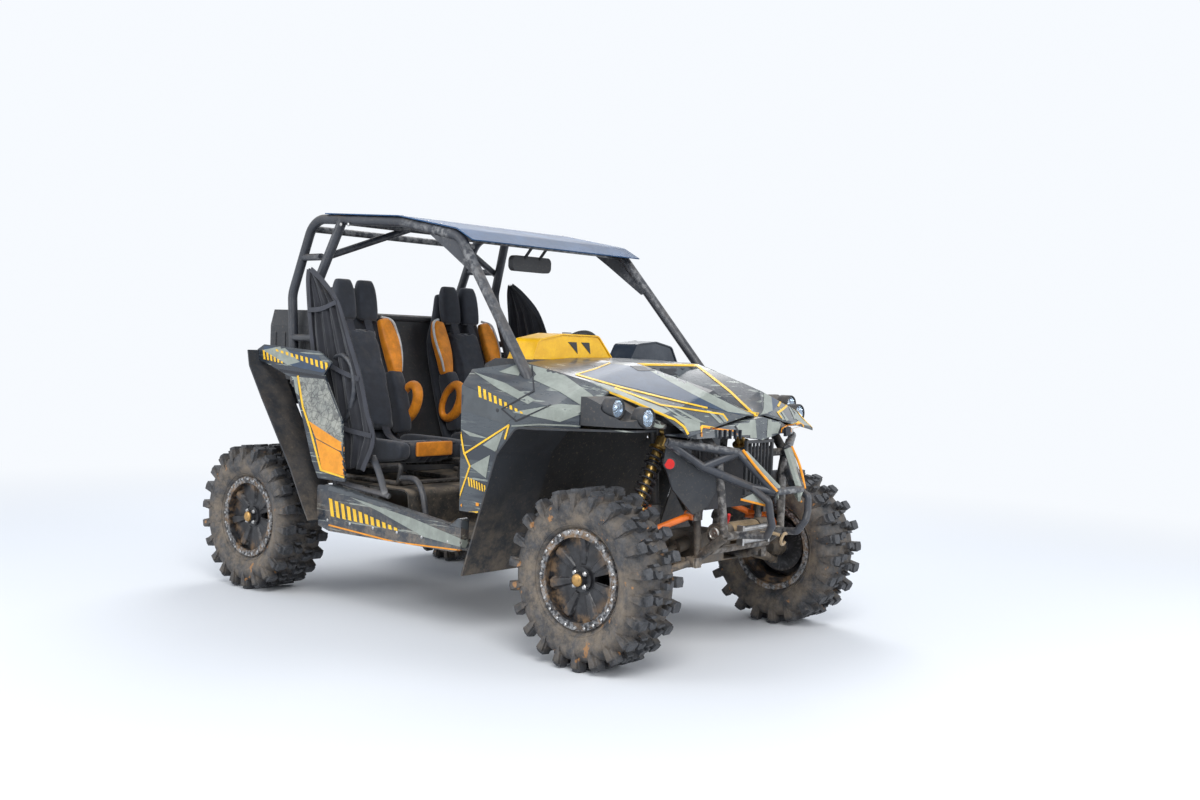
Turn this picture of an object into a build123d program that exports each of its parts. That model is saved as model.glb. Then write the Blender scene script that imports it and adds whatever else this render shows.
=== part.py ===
"""Two-seat off-road buggy with a roll cage, at real size, in millimetres.

The frame is +X to the buggy's left, -Y to its front and +Z up, with the origin
on the ground below the middle of the buggy.
"""

from build123d import *
from math import atan2, cos, degrees, pi, radians, sin
import os

os.makedirs("parts", exist_ok=True)

# Driving dimensions
wheelbase = 2141
tyre_face = 800  # from the middle plane to the outer face of a tyre
half_length = 1535
tyre_radius = 350
front_tyre_width = 250
rear_tyre_width = 270
seat_gap = 0.3  # between pieces that rest on each other
panel_gap = 0.6  # between body panels
run_gap = 0.5  # round a turning or sliding shaft

front_y = -wheelbase / 2
rear_y = wheelbase / 2
SIDES = {"right": -1, "left": 1}

# Tread
lug_count = 22
lug_half_length = 27
lug_depth = 30
lug_pitch = 360 / lug_count
lug_half_angle = degrees(atan2(lug_half_length, tyre_radius))
axle_z = tyre_radius * cos(radians(lug_half_angle - lug_pitch / 4))

# Wheels
rim_radius = 178
rim_lip = 196
rim_wall = 8
rim_width = 190
spoke_count = 7
spindle_radius = 17
hub_radius = 48
disc_radius = 118

# Frame tubes
frame_tube = 19
rail_tube = 20
post_tube = 18
frame_brace = 16
rail_x = 205
rail_z = 372
sill_x = 640
tower_front_y = -1225
tower_rear_y = -1012
tower_top_x = 262
tower_top_z = 950
nose_frame_y = -1350
frame_tail_y = 1210

# Cage tubes
cage_tube = 23
brace_tube = 17

# Saw cuts that part the tubes into straight lengths
saw = 0.3

# Steering and front suspension
kingpin_x = 600
lower_joint_z = 290
upper_joint_z = 455
ball_pin = 7
arm_tube = 14
bushing = 20
bushing_half = 20
ear = 6
upper_pivot = (269, 578)  # x, z
lower_pivot = (249, 385)
shock_foot = (448, 545)
shock_head = (262, 905)
eye_radius = 15
eye_half = 12
eye_drop = eye_radius + 1
shock_ear = 18
ball_half = 13
ball_cup = 21
steer_arm = 100
rack_z = 412
rack_bar = 11

# Steering wheel and column
wheel_centre = (345, -20, 1154)
column_tilt = 27
wheel_ring = 165
ring_radius = 14
column_radius = 20
column_way = Vector(0, cos(radians(column_tilt)), sin(radians(column_tilt)))
wheel_point = Vector(*wheel_centre)
column_top = wheel_point - column_way * 40
column_foot = wheel_point - column_way * 480
joint_point = (150, front_y + steer_arm + 24, 446)

# Body shell
body_x = 758
panel_wall = 10
flare_wall = 8
floor_wall = 8
floor_z = rail_z + rail_tube + seat_gap  # underside of the floor


def tube(points, radius, bend=0, mode=Mode.ADD):
    """Adds one round tube to the part in hand: straight runs joined by tangent bends."""
    with BuildLine() as path:
        if bend:
            FilletPolyline(*points, radius=bend)
        else:
            Polyline(*points)
    with BuildSketch(Plane(origin=path.line @ 0, z_dir=path.line % 0)) as section:
        Circle(radius)
    sweep(sections=section.sketch, path=path.line, mode=mode)


def side_plate(outline, x_from, x_to, corner=0, mode=Mode.ADD):
    """Adds a plate to the part in hand: an outline of (y, z) points, pushed along X."""
    with BuildSketch(Plane.YZ.offset(x_from)) as face:
        Polygon(*outline, align=None)
        if corner:
            fillet(face.vertices(), corner)
    extrude(face.sketch, amount=x_to - x_from, mode=mode)


def side_band(line, wall, x_from, x_to, corner):
    """Adds a bent sheet to the part in hand: a (y, z) line thickened to its left, pushed along X."""
    with BuildSketch(Plane.YZ.offset(x_from)) as face:
        with BuildLine():
            FilletPolyline(*line, radius=corner)
            offset(amount=wall, side=Side.LEFT)
        make_face()
    extrude(face.sketch, amount=x_to - x_from)


def shifted(line, distance):
    """Returns a (y, z) line moved to the left of its way by a distance, with mitred corners."""
    runs = [Vector(b[0] - a[0], b[1] - a[1]).normalized() for a, b in zip(line, line[1:])]
    points = []
    for (y, z), before, after in zip(line, runs[:1] + runs, runs + runs[-1:]):
        share = distance / (1 + before.dot(after))
        points.append((y - (before.Y + after.Y) * share, z + (before.X + after.X) * share))
    return points


def arch_void(line, distance, far):
    """Cuts the part in hand off at an arch: all between its (y, z) line, moved by distance, and far."""
    side_plate(shifted(line, distance) + list(far), -tyre_face, tyre_face, mode=Mode.SUBTRACT)


def clevis(side, x, y, z, back_x):
    """Adds an arm's bracket to the part in hand: two ears round the bushing at x, on a block behind it."""
    ears(side * back_x, side * (x + 8), y, z - bushing, z + bushing, bushing_half)
    block_half = bushing_half + seat_gap + ear
    with Locations((side * (back_x + x - bushing - 0.5) / 2, y, z)):
        Box(x - bushing - 0.5 - back_x, 2 * block_half, 2 * bushing)


def ears(x_from, x_to, y, z_from, z_to, gap):
    """Adds a bracket's two ears to the part in hand, one on each side of what turns between them."""
    for flank in (-1, 1):
        with Locations(((x_from + x_to) / 2, y + flank * (gap + seat_gap + ear / 2), (z_from + z_to) / 2)):
            Box(abs(x_to - x_from), ear, z_to - z_from)


def ruled_body(stations):
    """Adds a body with flat flanks to the part in hand: for each y, a closed outline of (x, z) points."""
    sections = []
    for y, outline in stations:
        with BuildSketch(Plane.XZ.offset(-y)) as section:
            Polygon(*outline, align=None)
        sections.append(section.sketch)
    loft(sections=sections, ruled=True)


def rod(start, end, radius, mode=Mode.ADD):
    """Adds a straight round bar between two points to the part in hand."""
    run = Vector(*end) - Vector(*start)
    with BuildSketch(Plane(origin=start, z_dir=run)) as section:
        Circle(radius)
    extrude(section.sketch, amount=run.length, mode=mode)


def save(builder, label):
    """Labels a finished piece and writes it."""
    builder.part.label = label
    export_step(builder.part, f"parts/{label}.step")


# Roll cage, side hoops
# The hoop runs from the cowl up the windscreen post, back over the roof and down behind the seats
cage_foot_z = 1040
sill_top_z = rail_z + frame_tube
hoop_line = (
    (628, -655, cage_foot_z + seat_gap),
    (628, -655, 1088),
    (552, -135, 1700),
    (551, 250, 1772),
    (551, 890, 1806),
    (553, 1045, 1440),
    (556, 1015, 1110),
    (556, 1015, cage_foot_z + seat_gap),
)
pillar_line = (
    (552, 672, 1794),
    (600, 795, 1480),
    (640, 690, 1120),
    (640, 520, 455),
    (640, 520, sill_top_z + seat_gap),
)
hoop_bend = 120
gusset_outline = ((110, 1745), (-35, 1722), (-160, 1690), (-300, 1510), (-275, 1500), (-60, 1640))
gusset_wall = 10
with BuildPart() as cage:
    for side in SIDES.values():
        tube([(side * x, y, z) for x, y, z in hoop_line], cage_tube, hoop_bend)
        tube([(side * x, y, z) for x, y, z in pillar_line], cage_tube, hoop_bend)
        rod((side * 586, 783, 1618), (side * 553, 965, 1620), brace_tube)
        rod((side * 628, 722, 1228), (side * 555, 1030, 1228), brace_tube)
        side_plate(gusset_outline, side * 552 - gusset_wall / 2, side * 552 + gusset_wall / 2)
    with Locations((0, -215, 1600)):
        Box(1260, 230, saw, mode=Mode.SUBTRACT)
    with Locations((0, -60, 1700)):
        Box(1260, saw, 180, mode=Mode.SUBTRACT)
save(cage, "cage_sides")

# Roll cage, cross tubes between the hoops
cross_tubes = (
    ((-552, -120, 1695), (552, -120, 1695)),
    ((-552, 672, 1788), (552, 672, 1788)),
    ((-552, 905, 1758), (552, 905, 1758)),
    ((-586, 780, 1610), (-130, 672, 1788)),
    ((586, 780, 1610), (130, 672, 1788)),
)
with BuildPart() as cage_cross:
    for start, end in cross_tubes:
        rod(start, end, brace_tube)
    add(cage.part, mode=Mode.SUBTRACT)
save(cage_cross, "cage_cross_tubes")

# Roof panel, a thin sheet on top of the cage
roof_wall = 5
roof_rise = cage_tube + seat_gap
roof_line = (
    (-235, 1676),
    (-135, 1700 + roof_rise + 5),
    (250, 1772 + roof_rise),
    (780, 1800.2 + roof_rise),
)
with BuildPart() as roof:
    side_band(roof_line, roof_wall, -574, 574, 80)
save(roof, "roof_panel")

# Chassis frame
front_rail = (
    (rail_x, nose_frame_y, 500),
    (rail_x, -1190, rail_z),
    (rail_x, 1130, rail_z),
    (rail_x, frame_tail_y, 480),
    (rail_x, half_length - frame_brace, 560),
)
upper_rail = (
    (240, nose_frame_y + 20, 824),
    (tower_top_x, tower_front_y, tower_top_z),
    (tower_top_x, tower_rear_y, tower_top_z),
    (420, -680, 1010),
)
post_line = ((600, -430, rail_z), (600, -590, 800), (628, -655, 960), (628, -655, cage_foot_z))
sill_line = ((600, -430, rail_z), (sill_x, -380, rail_z), (sill_x, 575, rail_z), (rail_x, 575, rail_z))
tail_top_z = 1000
hood_post_z = 1108
winch_y = -1285
winch_z = 503
winch_saddle = 67
cross_members = (
    (nose_frame_y, 500, rail_x),
    (nose_frame_y + 20, 824, 240),
    (winch_y, winch_z - winch_saddle, rail_x),
    (tower_front_y, tower_top_z, tower_top_x),
    (-430, rail_z, 600),
    (60, rail_z, sill_x),
    (575, rail_z, rail_x),
    (1015, tail_top_z, 556),
    (frame_tail_y, 480, rail_x),
    (frame_tail_y, tail_top_z, 300),
    (half_length - frame_brace, 560, 330),
)
rear_shock = ((480, 905, 436), (410, 1015, 958))
arm_pivot = (430, 500, 420)
arm_pivot_half = 34
pivot_ear = ((480, 398), (480, 440), (515, 430), (575, 372), (575, 354))
hitch_bore = 8
hitch_wall = 10
hitch_y = half_length - 35
hitch_z = 530
with BuildPart() as chassis:
    for side in SIDES.values():
        tube([(side * x, y, z) for x, y, z in front_rail], rail_tube, 60)
        tube([(side * x, y, z) for x, y, z in upper_rail], frame_tube, 60)
        tube([(side * x, y, z) for x, y, z in post_line], post_tube, 90)
        tube([(side * x, y, z) for x, y, z in sill_line], frame_tube, 40)
        for start, end in (
            ((rail_x, nose_frame_y, 500), (240, nose_frame_y + 20, 824)),
            ((rail_x, tower_front_y, rail_z), (tower_top_x, tower_front_y, tower_top_z)),
            ((rail_x, tower_rear_y, rail_z), (tower_top_x, tower_rear_y, tower_top_z)),
            ((420, -680, 1010), (622, -642, 930)),
            ((rail_x, frame_tail_y, 480), (300, frame_tail_y, tail_top_z)),
            ((rail_x, 800, rail_z), (300, 1015, tail_top_z)),
            ((556, 1015, tail_top_z), (556, 1015, cage_foot_z)),
            ((tower_top_x, tower_rear_y, tower_top_z), (tower_top_x, tower_rear_y, hood_post_z)),
        ):
            x, y, z = start
            far_x, far_y, far_z = end
            rod((side * x, y, z), (side * far_x, far_y, far_z), frame_brace)
        rod((side * 300, 1015, tail_top_z), (side * 300, frame_tail_y, tail_top_z), frame_brace - 1)
        for y in (tower_front_y, tower_rear_y):
            clevis(side, upper_pivot[0], y, upper_pivot[1], upper_pivot[0] - 46)
            clevis(side, lower_pivot[0], y, lower_pivot[1], lower_pivot[0] - 30)
        x, z = shock_head
        ears(side * (x - shock_ear), side * (x + shock_ear), front_y, z - eye_drop, tower_top_z, eye_half)
        x, y, z = rear_shock[1]
        ears(side * (x - shock_ear), side * (x + shock_ear), y, z - eye_drop, tail_top_z, eye_half)
        for flank in (-1, 1):
            inner = side * arm_pivot[0] + flank * (arm_pivot_half + seat_gap)
            side_plate(pivot_ear, inner, inner + flank * ear)
    for y, z, reach in cross_members:
        rod((-reach, y, z), (reach, y, z), frame_brace)
    with BuildSketch(Plane.XY.offset(hitch_z)) as tongue:
        with Locations((0, (frame_tail_y + hitch_y) / 2 + 10)):
            Rectangle(60, hitch_y - frame_tail_y + 10)
        with Locations((0, hitch_y)):
            Circle(30)
            Circle(hitch_bore, mode=Mode.SUBTRACT)
    extrude(tongue.sketch, amount=hitch_wall)
    side_plate(((1200, 480), (1240, 480), (1300, hitch_z + 1), (1210, hitch_z + 1)), -30, 30)
# The frame's saw cuts: axis, place and the reach along the other two
saw_cuts = (
    ("X", 184, (-1400, 1540), (340, 600)),
    ("X", 219, (-1360, -1300), (795, 850)),
    ("X", 236, (-1250, -1200), (930, 975)),
    ("X", 282, (990, 1240), (980, 1020)),
    ("X", 226, (-460, 600), (340, 400)),
    ("X", 620.5, (30, 90), (340, 400)),
    ("X", 577, (-460, -400), (340, 400)),
    ("X", 443, (-710, -640), (970, 1040)),
    ("X", 602, (-680, -620), (900, 970)),
    ("X", 318, (990, 1040), (975, 1025)),
    ("X", 227, (1495, 1540), (540, 580)),
    ("Y", -1165, (175, 240), (340, 410)),
    ("Y", -1190, (235, 290), (920, 980)),
    ("Y", -980, (235, 310), (920, 985)),
    ("Y", -345, (600, 680), (340, 400)),
    ("Y", 530, (600, 680), (340, 400)),
    ("Y", 1095, (175, 240), (340, 410)),
    ("Y", 1250, (175, 240), (455, 530)),
    ("Z", 450, (180, 250), (-1247, -1203)),
    ("Z", 410, (180, 250), (-1034, -990)),
    ("Z", 893, (235, 290), (-1244, -1206)),
    ("Z", 928, (235, 290), (-1034, -990)),
    ("Z", 972, (240, 285), (-1034, -990)),
    ("Z", 528, (180, 235), (-1380, -1320)),
    ("Z", 800, (205, 270), (-1360, -1300)),
    ("Z", 415, (570, 640), (-490, -400)),
    ("Z", 780, (570, 630), (-620, -550)),
    ("Z", 975, (600, 655), (-690, -620)),
    ("Z", 410, (180, 240), (780, 845)),
    ("Z", 980, (270, 325), (990, 1040)),
    ("Z", 515, (180, 240), (1185, 1235)),
    ("Z", 980, (270, 325), (1185, 1235)),
    ("Z", 1019, (530, 580), (990, 1040)),
)
with BuildPart() as saws:
    for axis, place, first, second in saw_cuts:
        spans = [first, second]
        spans.insert("XYZ".index(axis), (place, place + saw))
        middle_x, middle_y, middle_z = [sum(span) / 2 for span in spans]
        with Locations((middle_x, middle_y, middle_z), (-middle_x, middle_y, middle_z)):
            Box(*[far - near for near, far in spans])
with BuildPart() as lengths:
    add(chassis.part)
    add(saws.part, mode=Mode.SUBTRACT)

# The frame's lengths sorted into its floor, nose, posts and tail
frame_groups = {"frame_floor": [], "frame_front": [], "frame_posts": [], "frame_rear": []}
for length in lengths.part.solids():
    middle = length.center()
    if length.bounding_box().max.Z < 445 and -1160 < middle.Y < 1090:
        frame_groups["frame_floor"].append(length)
    elif middle.Y < -690:
        frame_groups["frame_front"].append(length)
    elif middle.Y < 0:
        frame_groups["frame_posts"].append(length)
    else:
        frame_groups["frame_rear"].append(length)
for label, members in frame_groups.items():
    with BuildPart() as group:
        add(members)
    save(group, label)

# Skid plate below the frame
skid_wall = 5
skid_z = rail_z - rail_tube - seat_gap - skid_wall
with BuildPart() as skid:
    with BuildSketch(Plane.XY.offset(skid_z)):
        with Locations((0, -60)):
            RectangleRounded(500, 2160, 40)
    extrude(amount=skid_wall)
save(skid, "skid_plate")

# Floor with firewall, tunnel and seat platform
platform_z = 560
tub_line = (
    (700, platform_z),
    (90, platform_z),
    (70, floor_z),
    (-395, floor_z),
    (-545, 800),
    (-600, 1006),
)
tub_half = 612
tunnel_half = 105
tunnel_rise = 220
with BuildPart() as tub:
    with BuildSketch(Plane.YZ.offset(-tub_half)) as tub_face:
        with BuildLine():
            FilletPolyline(*tub_line, radius=30)
            offset(amount=floor_wall, side=Side.RIGHT)
        make_face()
    extrude(tub_face.sketch, amount=2 * tub_half)
    with BuildSketch(Plane.XZ.offset(-70)) as tunnel_face:
        with Locations((0, floor_z)):
            Rectangle(2 * tunnel_half, tunnel_rise, align=(Align.CENTER, Align.MIN))
    extrude(tunnel_face.sketch, amount=450)
    rod(joint_point, column_foot, 16, mode=Mode.SUBTRACT)
save(tub, "floor_tub")

# Rear bulkhead behind the seats
rail_top = (902, 1345)  # y, z
bulkhead_line = ((688, platform_z + floor_wall + 3.6), (720, 640), rail_top)
bulkhead_half = 560
with BuildPart() as bulkhead:
    with BuildSketch(Plane.YZ.offset(-bulkhead_half)) as bulkhead_face:
        with BuildLine():
            FilletPolyline(*bulkhead_line, radius=40)
            offset(amount=floor_wall, side=Side.RIGHT)
        make_face()
    extrude(bulkhead_face.sketch, amount=2 * bulkhead_half)
    rod((-bulkhead_half, *rail_top), (bulkhead_half, *rail_top), brace_tube)
save(bulkhead, "rear_bulkhead")

# Engine, one plain block
engine_half = 182
with BuildPart() as engine:
    with Locations((0, 955, skid_z + skid_wall + seat_gap)):
        Box(2 * engine_half, 340, 490, align=(Align.CENTER, Align.CENTER, Align.MIN))
save(engine, "engine_block")

# Exhaust silencer
silencer_half = 232.5
silencer_y = 1230
silencer_z = 790
with BuildPart() as silencer:
    with BuildSketch(Plane.YZ.offset(-silencer_half)) as silencer_face:
        with Locations((silencer_y, silencer_z)):
            Ellipse(85, 70)
    extrude(silencer_face.sketch, amount=2 * silencer_half)
    rod((150, silencer_y, silencer_z), (150, 1330, 760), 24)
    rod((150, 1300, 769), (150, 1331, 759.5), 19, mode=Mode.SUBTRACT)
save(silencer, "exhaust_silencer")

# Seats, one plain bucket shape each
seat_x = 352
seat_half = 215
head_half = 140
shoulder_z = 1290
seat_outline = (
    (205, 678),
    (620, 640),
    (700, 690),
    (880, 1400),
    (885, 1530),
    (795, 1540),
    (755, 1290),
    (655, 1040),
    (615, 760),
    (560, 738),
    (230, 775),
)
with BuildPart() as seats:
    for side in SIDES.values():
        side_plate(seat_outline, side * seat_x - seat_half, side * seat_x + seat_half, 18)
        for wing in SIDES.values():
            with BuildSketch(Plane.XZ.offset(-500)) as trim_face:
                Polygon(
                    (side * seat_x + wing * head_half, 1600),
                    (side * seat_x + wing * head_half, 1400),
                    (side * seat_x + wing * (seat_half + 1), shoulder_z),
                    (side * seat_x + wing * (seat_half + 1), 1600),
                    align=None,
                )
            extrude(trim_face.sketch, amount=-500, mode=Mode.SUBTRACT)
save(seats, "seats")

# Seat frames
seat_tube = 12
seat_frame_z = platform_z + floor_wall + seat_tube + seat_gap
with BuildPart() as seat_frames:
    for side in SIDES.values():
        for x in (seat_x - 190, seat_x + 190):
            tube(
                [
                    (side * x, 600, seat_frame_z),
                    (side * x, 230, seat_frame_z),
                    (side * x, 215, 664.6),
                    (side * x, 610, 627),
                ],
                seat_tube,
                14,
            )
        bar_ends = [(side * (seat_x + reach), 230, seat_frame_z) for reach in (-190, 190)]
        rod(*bar_ends, seat_tube - 2)
save(seat_frames, "seat_frames")

# Hood, with a V-shaped trench between two crests
# y, edge x, edge z, crest x, crest z, lip x, lip z, floor z
hood_table = (
    (-575, 580, 1165, 300, 1187, 200, 1190, 1192),
    (-870, 533, 1103, 222, 1178, 205, 1177, 1173),
    (-890, 530, 1098, 220, 1174, 190, 1168, 1105),
    (-1240, 480, 985, 170, 1080, 42, 1022, 985),
    (-1337.5, 455, 918, 60, 992, 12, 988, 966),
)
with BuildPart() as hood:
    stations = []
    for y, edge_x, edge_z, crest_x, crest_z, lip_x, lip_z, trench_z in hood_table:
        half = ((edge_x, edge_z), (crest_x, crest_z), (lip_x, lip_z))
        top = [(-x, z) for x, z in half] + [(0, trench_z)] + [(x, z) for x, z in reversed(half)]
        stations.append((y, top + [(x, z - panel_wall) for x, z in reversed(top)]))
    ruled_body(stations)
save(hood, "hood")

# Wheel arches, black sheets round the wheels
front_arch = ((-462, 285), (-640, 800), (-745, 915), (-1195, 925))
rear_arch = ((556, sill_top_z + panel_gap), (600, 455), (700, 620), (935, 935), (1040, 1085), (1056, 1160))
with BuildPart() as arches:
    for side in SIDES.values():
        side_band(front_arch, flare_wall, side * 470, side * tyre_face, 60)
        side_band(rear_arch, flare_wall, side * 618, side * tyre_face, 30)
    with BuildSketch(Plane.XY.offset(700)) as trim_face:
        with BuildLine():
            Polyline((801, -860), (801, -1200), (600, -1200), (801, -860))
        make_face()
        mirror(about=Plane.YZ)
    extrude(trim_face.sketch, amount=400, mode=Mode.SUBTRACT)
save(arches, "wheel_arches")

# Front fenders
# y, top x, top z, belt x, belt z
fender_table = (
    (-390, 700, 1128, body_x, 1060),
    (-575, 581, 1165, body_x, 1040),
    (-890, 531, 1098, 742, 1000),
    (-985, 516, 1066, 696, 982),
)
fender_low = 540
fender_lean = 8
with BuildPart() as fenders:
    for side in SIDES.values():
        stations = []
        for y, top_x, top_z, belt_x, belt_z in fender_table:
            half = (
                (top_x + panel_gap, top_z),
                (belt_x, belt_z),
                (belt_x - fender_lean, fender_low),
                (belt_x - fender_lean - panel_wall, fender_low),
                (belt_x - panel_wall, belt_z - 6),
                (top_x + panel_gap, top_z - panel_wall),
            )
            stations.append((y, [(side * x, z) for x, z in half]))
        ruled_body(stations)
    arch_void(front_arch, -panel_gap, ((-1400, 960), (-1400, 200), (-400, 200)))
    for side in SIDES.values():
        tube([(side * x, y, z) for x, y, z in hoop_line[:3]], cage_tube + panel_gap, hoop_bend, Mode.SUBTRACT)
save(fenders, "front_fenders")

# Headlamp pods and the lamps in them
lamp_radius = 42
lamp_depth = 34
tail_wall = 12
tail_lamp_y = frame_tail_y + frame_brace + 2 * seat_gap + tail_wall + 12
pod_outline = ((-514, -985.6), (-690, -985.6), (-655, -1135), (-520, -1265), (-470, -1240))
lamp_places = ((-622, -1086, 1006), (-548, -1178, 972))  # x, y, z of a lamp's middle
with BuildPart() as pods:
    with BuildSketch(Plane.XY.offset(934)) as pod_low:
        Polygon(*pod_outline, align=None)
    with BuildSketch(Plane.XY.offset(1046)) as pod_high:
        Polygon(*pod_outline, align=None)
    loft()
    for x, y, z in lamp_places:
        rod((x, y - 120, z), (x, y + 20, z), lamp_radius + 6, mode=Mode.SUBTRACT)
    side_plate(((-1340, 905), (-1340, 1100), (-970, 1100), (-970, 1062)), -800, -400, mode=Mode.SUBTRACT)
    mirror(about=Plane.YZ)
save(pods, "headlamp_pods")

with BuildPart() as lamps:
    for x, y, z in lamp_places:
        rod((x, y - lamp_depth, z), (x, y + 20 - seat_gap, z), lamp_radius)
    mirror(about=Plane.YZ)
    for side in SIDES.values():
        with Locations((side * 440, tail_lamp_y, 950)):
            Box(130, 24, 60)
save(lamps, "lamps")

# Nose panel between the pods
# x, front y, bottom z, top z
nose_table = ((0, -1376, 884, 978), (165, -1360, 905, 952), (350, -1300, 893, 918), (440, -1250, 903, 910))
nose_depth = 36.5
with BuildPart() as nose:
    for x, y, low, high in nose_table:
        with BuildSketch(Plane.YZ.offset(x)):
            Polygon((y, low), (y + 4, high), (y + nose_depth, high), (y + nose_depth, low), align=None)
    loft(ruled=True)
    mirror(about=Plane.YZ)
save(nose, "nose_panel")

# Rocker panels under the doorways
rocker_outline = (
    (-400, 378),
    (-350, 362),
    (470, 350),
    (560, 372),
    (560, 555),
    (470, 560),
    (-330, 470),
    (-400, 520),
)
rocker_tab = ((-340, 364), (-340, 384), (540, 384), (540, 364))
rocker_x = 700
rocker_wall = 45
with BuildPart() as rockers:
    for side in SIDES.values():
        side_plate(rocker_outline, side * rocker_x, side * (rocker_x + rocker_wall), 14)
        side_plate(rocker_tab, side * (sill_x + frame_tube + seat_gap), side * rocker_x)
    arch_void(rear_arch, flare_wall + panel_gap, ((1200, 1200), (1200, 300), (540, 300)))
save(rockers, "rocker_panels")

# Rear quarter panels
quarter_outline = (
    (1115, 1135),
    (1000, 1190),
    (577, 1170),
    (480, 1120),
    (537, 1064),
    (399, 867),
    (385, 720),
    (362, 585),
    (560, 585),
    (607, 660),
    (690, 860),
    (780, 1040),
    (960, 1095),
)
with BuildPart() as quarters:
    for side in SIDES.values():
        side_plate(quarter_outline, side * (body_x - 14 - panel_wall), side * (body_x - 14), 10)
    arch_void(rear_arch, flare_wall + panel_gap, ((1200, 1200), (1200, 300), (540, 300)))
save(quarters, "rear_quarters")

# Cargo box with its lid
cargo_half = 515
cargo_front = 925
cargo_back = 1305
cargo_low = tail_top_z + frame_brace + seat_gap
cargo_rim = 1285
cargo_wall = 6
with BuildPart() as cargo:
    with BuildSketch(Plane.XY.offset(cargo_low)):
        with Locations((0, (cargo_front + cargo_back) / 2)):
            RectangleRounded(2 * cargo_half, cargo_back - cargo_front, 50)
    extrude(amount=cargo_rim - cargo_low)
    offset(amount=-cargo_wall, openings=cargo.faces().sort_by(Axis.Z)[-1:])
save(cargo, "cargo_box")
lid_rise = 80
hook_x = 300  # the lid turns round the bulkhead's top rail on two hooks
hook_half = 20
hook_radius = 24
with BuildPart() as lid:
    with BuildSketch(Plane.XY.offset(cargo_rim + seat_gap)):
        with Locations((0, (cargo_front + cargo_back) / 2)):
            RectangleRounded(2 * cargo_half, cargo_back - cargo_front, 50)
    extrude(amount=lid_rise, taper=12)
    offset(amount=-cargo_wall, openings=lid.faces().sort_by(Axis.Z)[:1])
    for x in (-hook_x, hook_x):
        rod((x - hook_half, *rail_top), (x + hook_half, *rail_top), hook_radius)
        with Locations((x, (rail_top[0] + cargo_front + 16) / 2, rail_top[1])):
            Box(2 * hook_half, cargo_front + 16 - rail_top[0], 16)
        rod((x - hook_half, *rail_top), (x + hook_half, *rail_top), brace_tube + run_gap, mode=Mode.SUBTRACT)
        with Locations((x, rail_top[0], rail_top[1])):
            Box(2 * hook_half, 60, 60, align=(Align.CENTER, Align.MAX, Align.CENTER), mode=Mode.SUBTRACT)
        with Locations((x, rail_top[0], rail_top[1] - 8)):
            Box(2 * hook_half, 46, 30, align=(Align.CENTER, Align.CENTER, Align.MAX), mode=Mode.SUBTRACT)
save(lid, "cargo_lid")

# Tail panel
tail_y = frame_tail_y + frame_brace + seat_gap + tail_wall / 2
with BuildPart() as tail:
    with Locations((0, tail_y, 950)):
        Box(1040, tail_wall, 128)
save(tail, "tail_panel")

# Front bumper
bumper_tube = 17
hoop_tube = 15
hoop_y = -half_length + hoop_tube
bumper_tip_y = hoop_y + 10
bumper_corner = (455, -1235, 880)
bumper_brow = (182, -1385, 840)
bumper_knee = (300, -1298, 780)
bumper_chin = (150, -1432, 703)
bumper_tip = (98, bumper_tip_y, 690)
bumper_lines = (
    (bumper_corner, bumper_brow, bumper_tip),
    (bumper_corner, bumper_knee, bumper_chin, bumper_tip),
    (bumper_knee, bumper_brow),
    (bumper_brow, (238, nose_frame_y + 20, 826)),
)
hoop_points = (
    bumper_chin,
    (148, hoop_y + 6, 655),
    (140, hoop_y, 595),
    (125, hoop_y, 560),
    (112, -1490, 512),
    (112, nose_frame_y, 500),
)
with BuildPart() as bumper:
    for points in bumper_lines:
        for start, end in zip(points, points[1:]):
            rod(start, end, bumper_tube)
    tube(hoop_points, hoop_tube, 16)
    mirror(about=Plane.YZ)
    rod((-98, bumper_tip_y, 690), (98, bumper_tip_y, 690), hoop_tube)
    add(chassis.part, mode=Mode.SUBTRACT)
save(bumper, "front_bumper")

# Winch between the front rails
winch_floor = winch_z - winch_saddle + frame_brace + seat_gap
with BuildPart() as winch:
    rod((-110, winch_y, winch_z), (110, winch_y, winch_z), 30)
    for start, end, radius in ((-178, -100, 42), (100, 178, 42), (-184, -178, 30)):
        rod((start, winch_y, winch_z), (end, winch_y, winch_z), radius)
    with Locations((0, winch_y, winch_floor + 3)):
        Box(344, 70, 6)
    for x in (-142, 142):
        with Locations((x, winch_y, winch_floor + 15)):
            Box(60, 60, 30)
save(winch, "winch")

# Radiator in the nose
with BuildPart() as radiator:
    with Locations((0, tower_front_y - frame_brace - 18 - seat_gap, 722)):
        Box(480, 36, 240)
save(radiator, "radiator")

# Grille under the nose panel
grille_top = 884 - seat_gap
grille_y = -1362
slat_count = 7
with BuildPart() as grille:
    with Locations((0, grille_y, grille_top - 110)):
        Box(200, 12, 220)
        Box(176, 12, 196, mode=Mode.SUBTRACT)
        with GridLocations(176 / slat_count, 1, slat_count - 1, 1):
            Box(6, 10, 200)
save(grille, "grille")

# Front suspension arms
arm_pivots = (tower_front_y, tower_rear_y)


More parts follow.
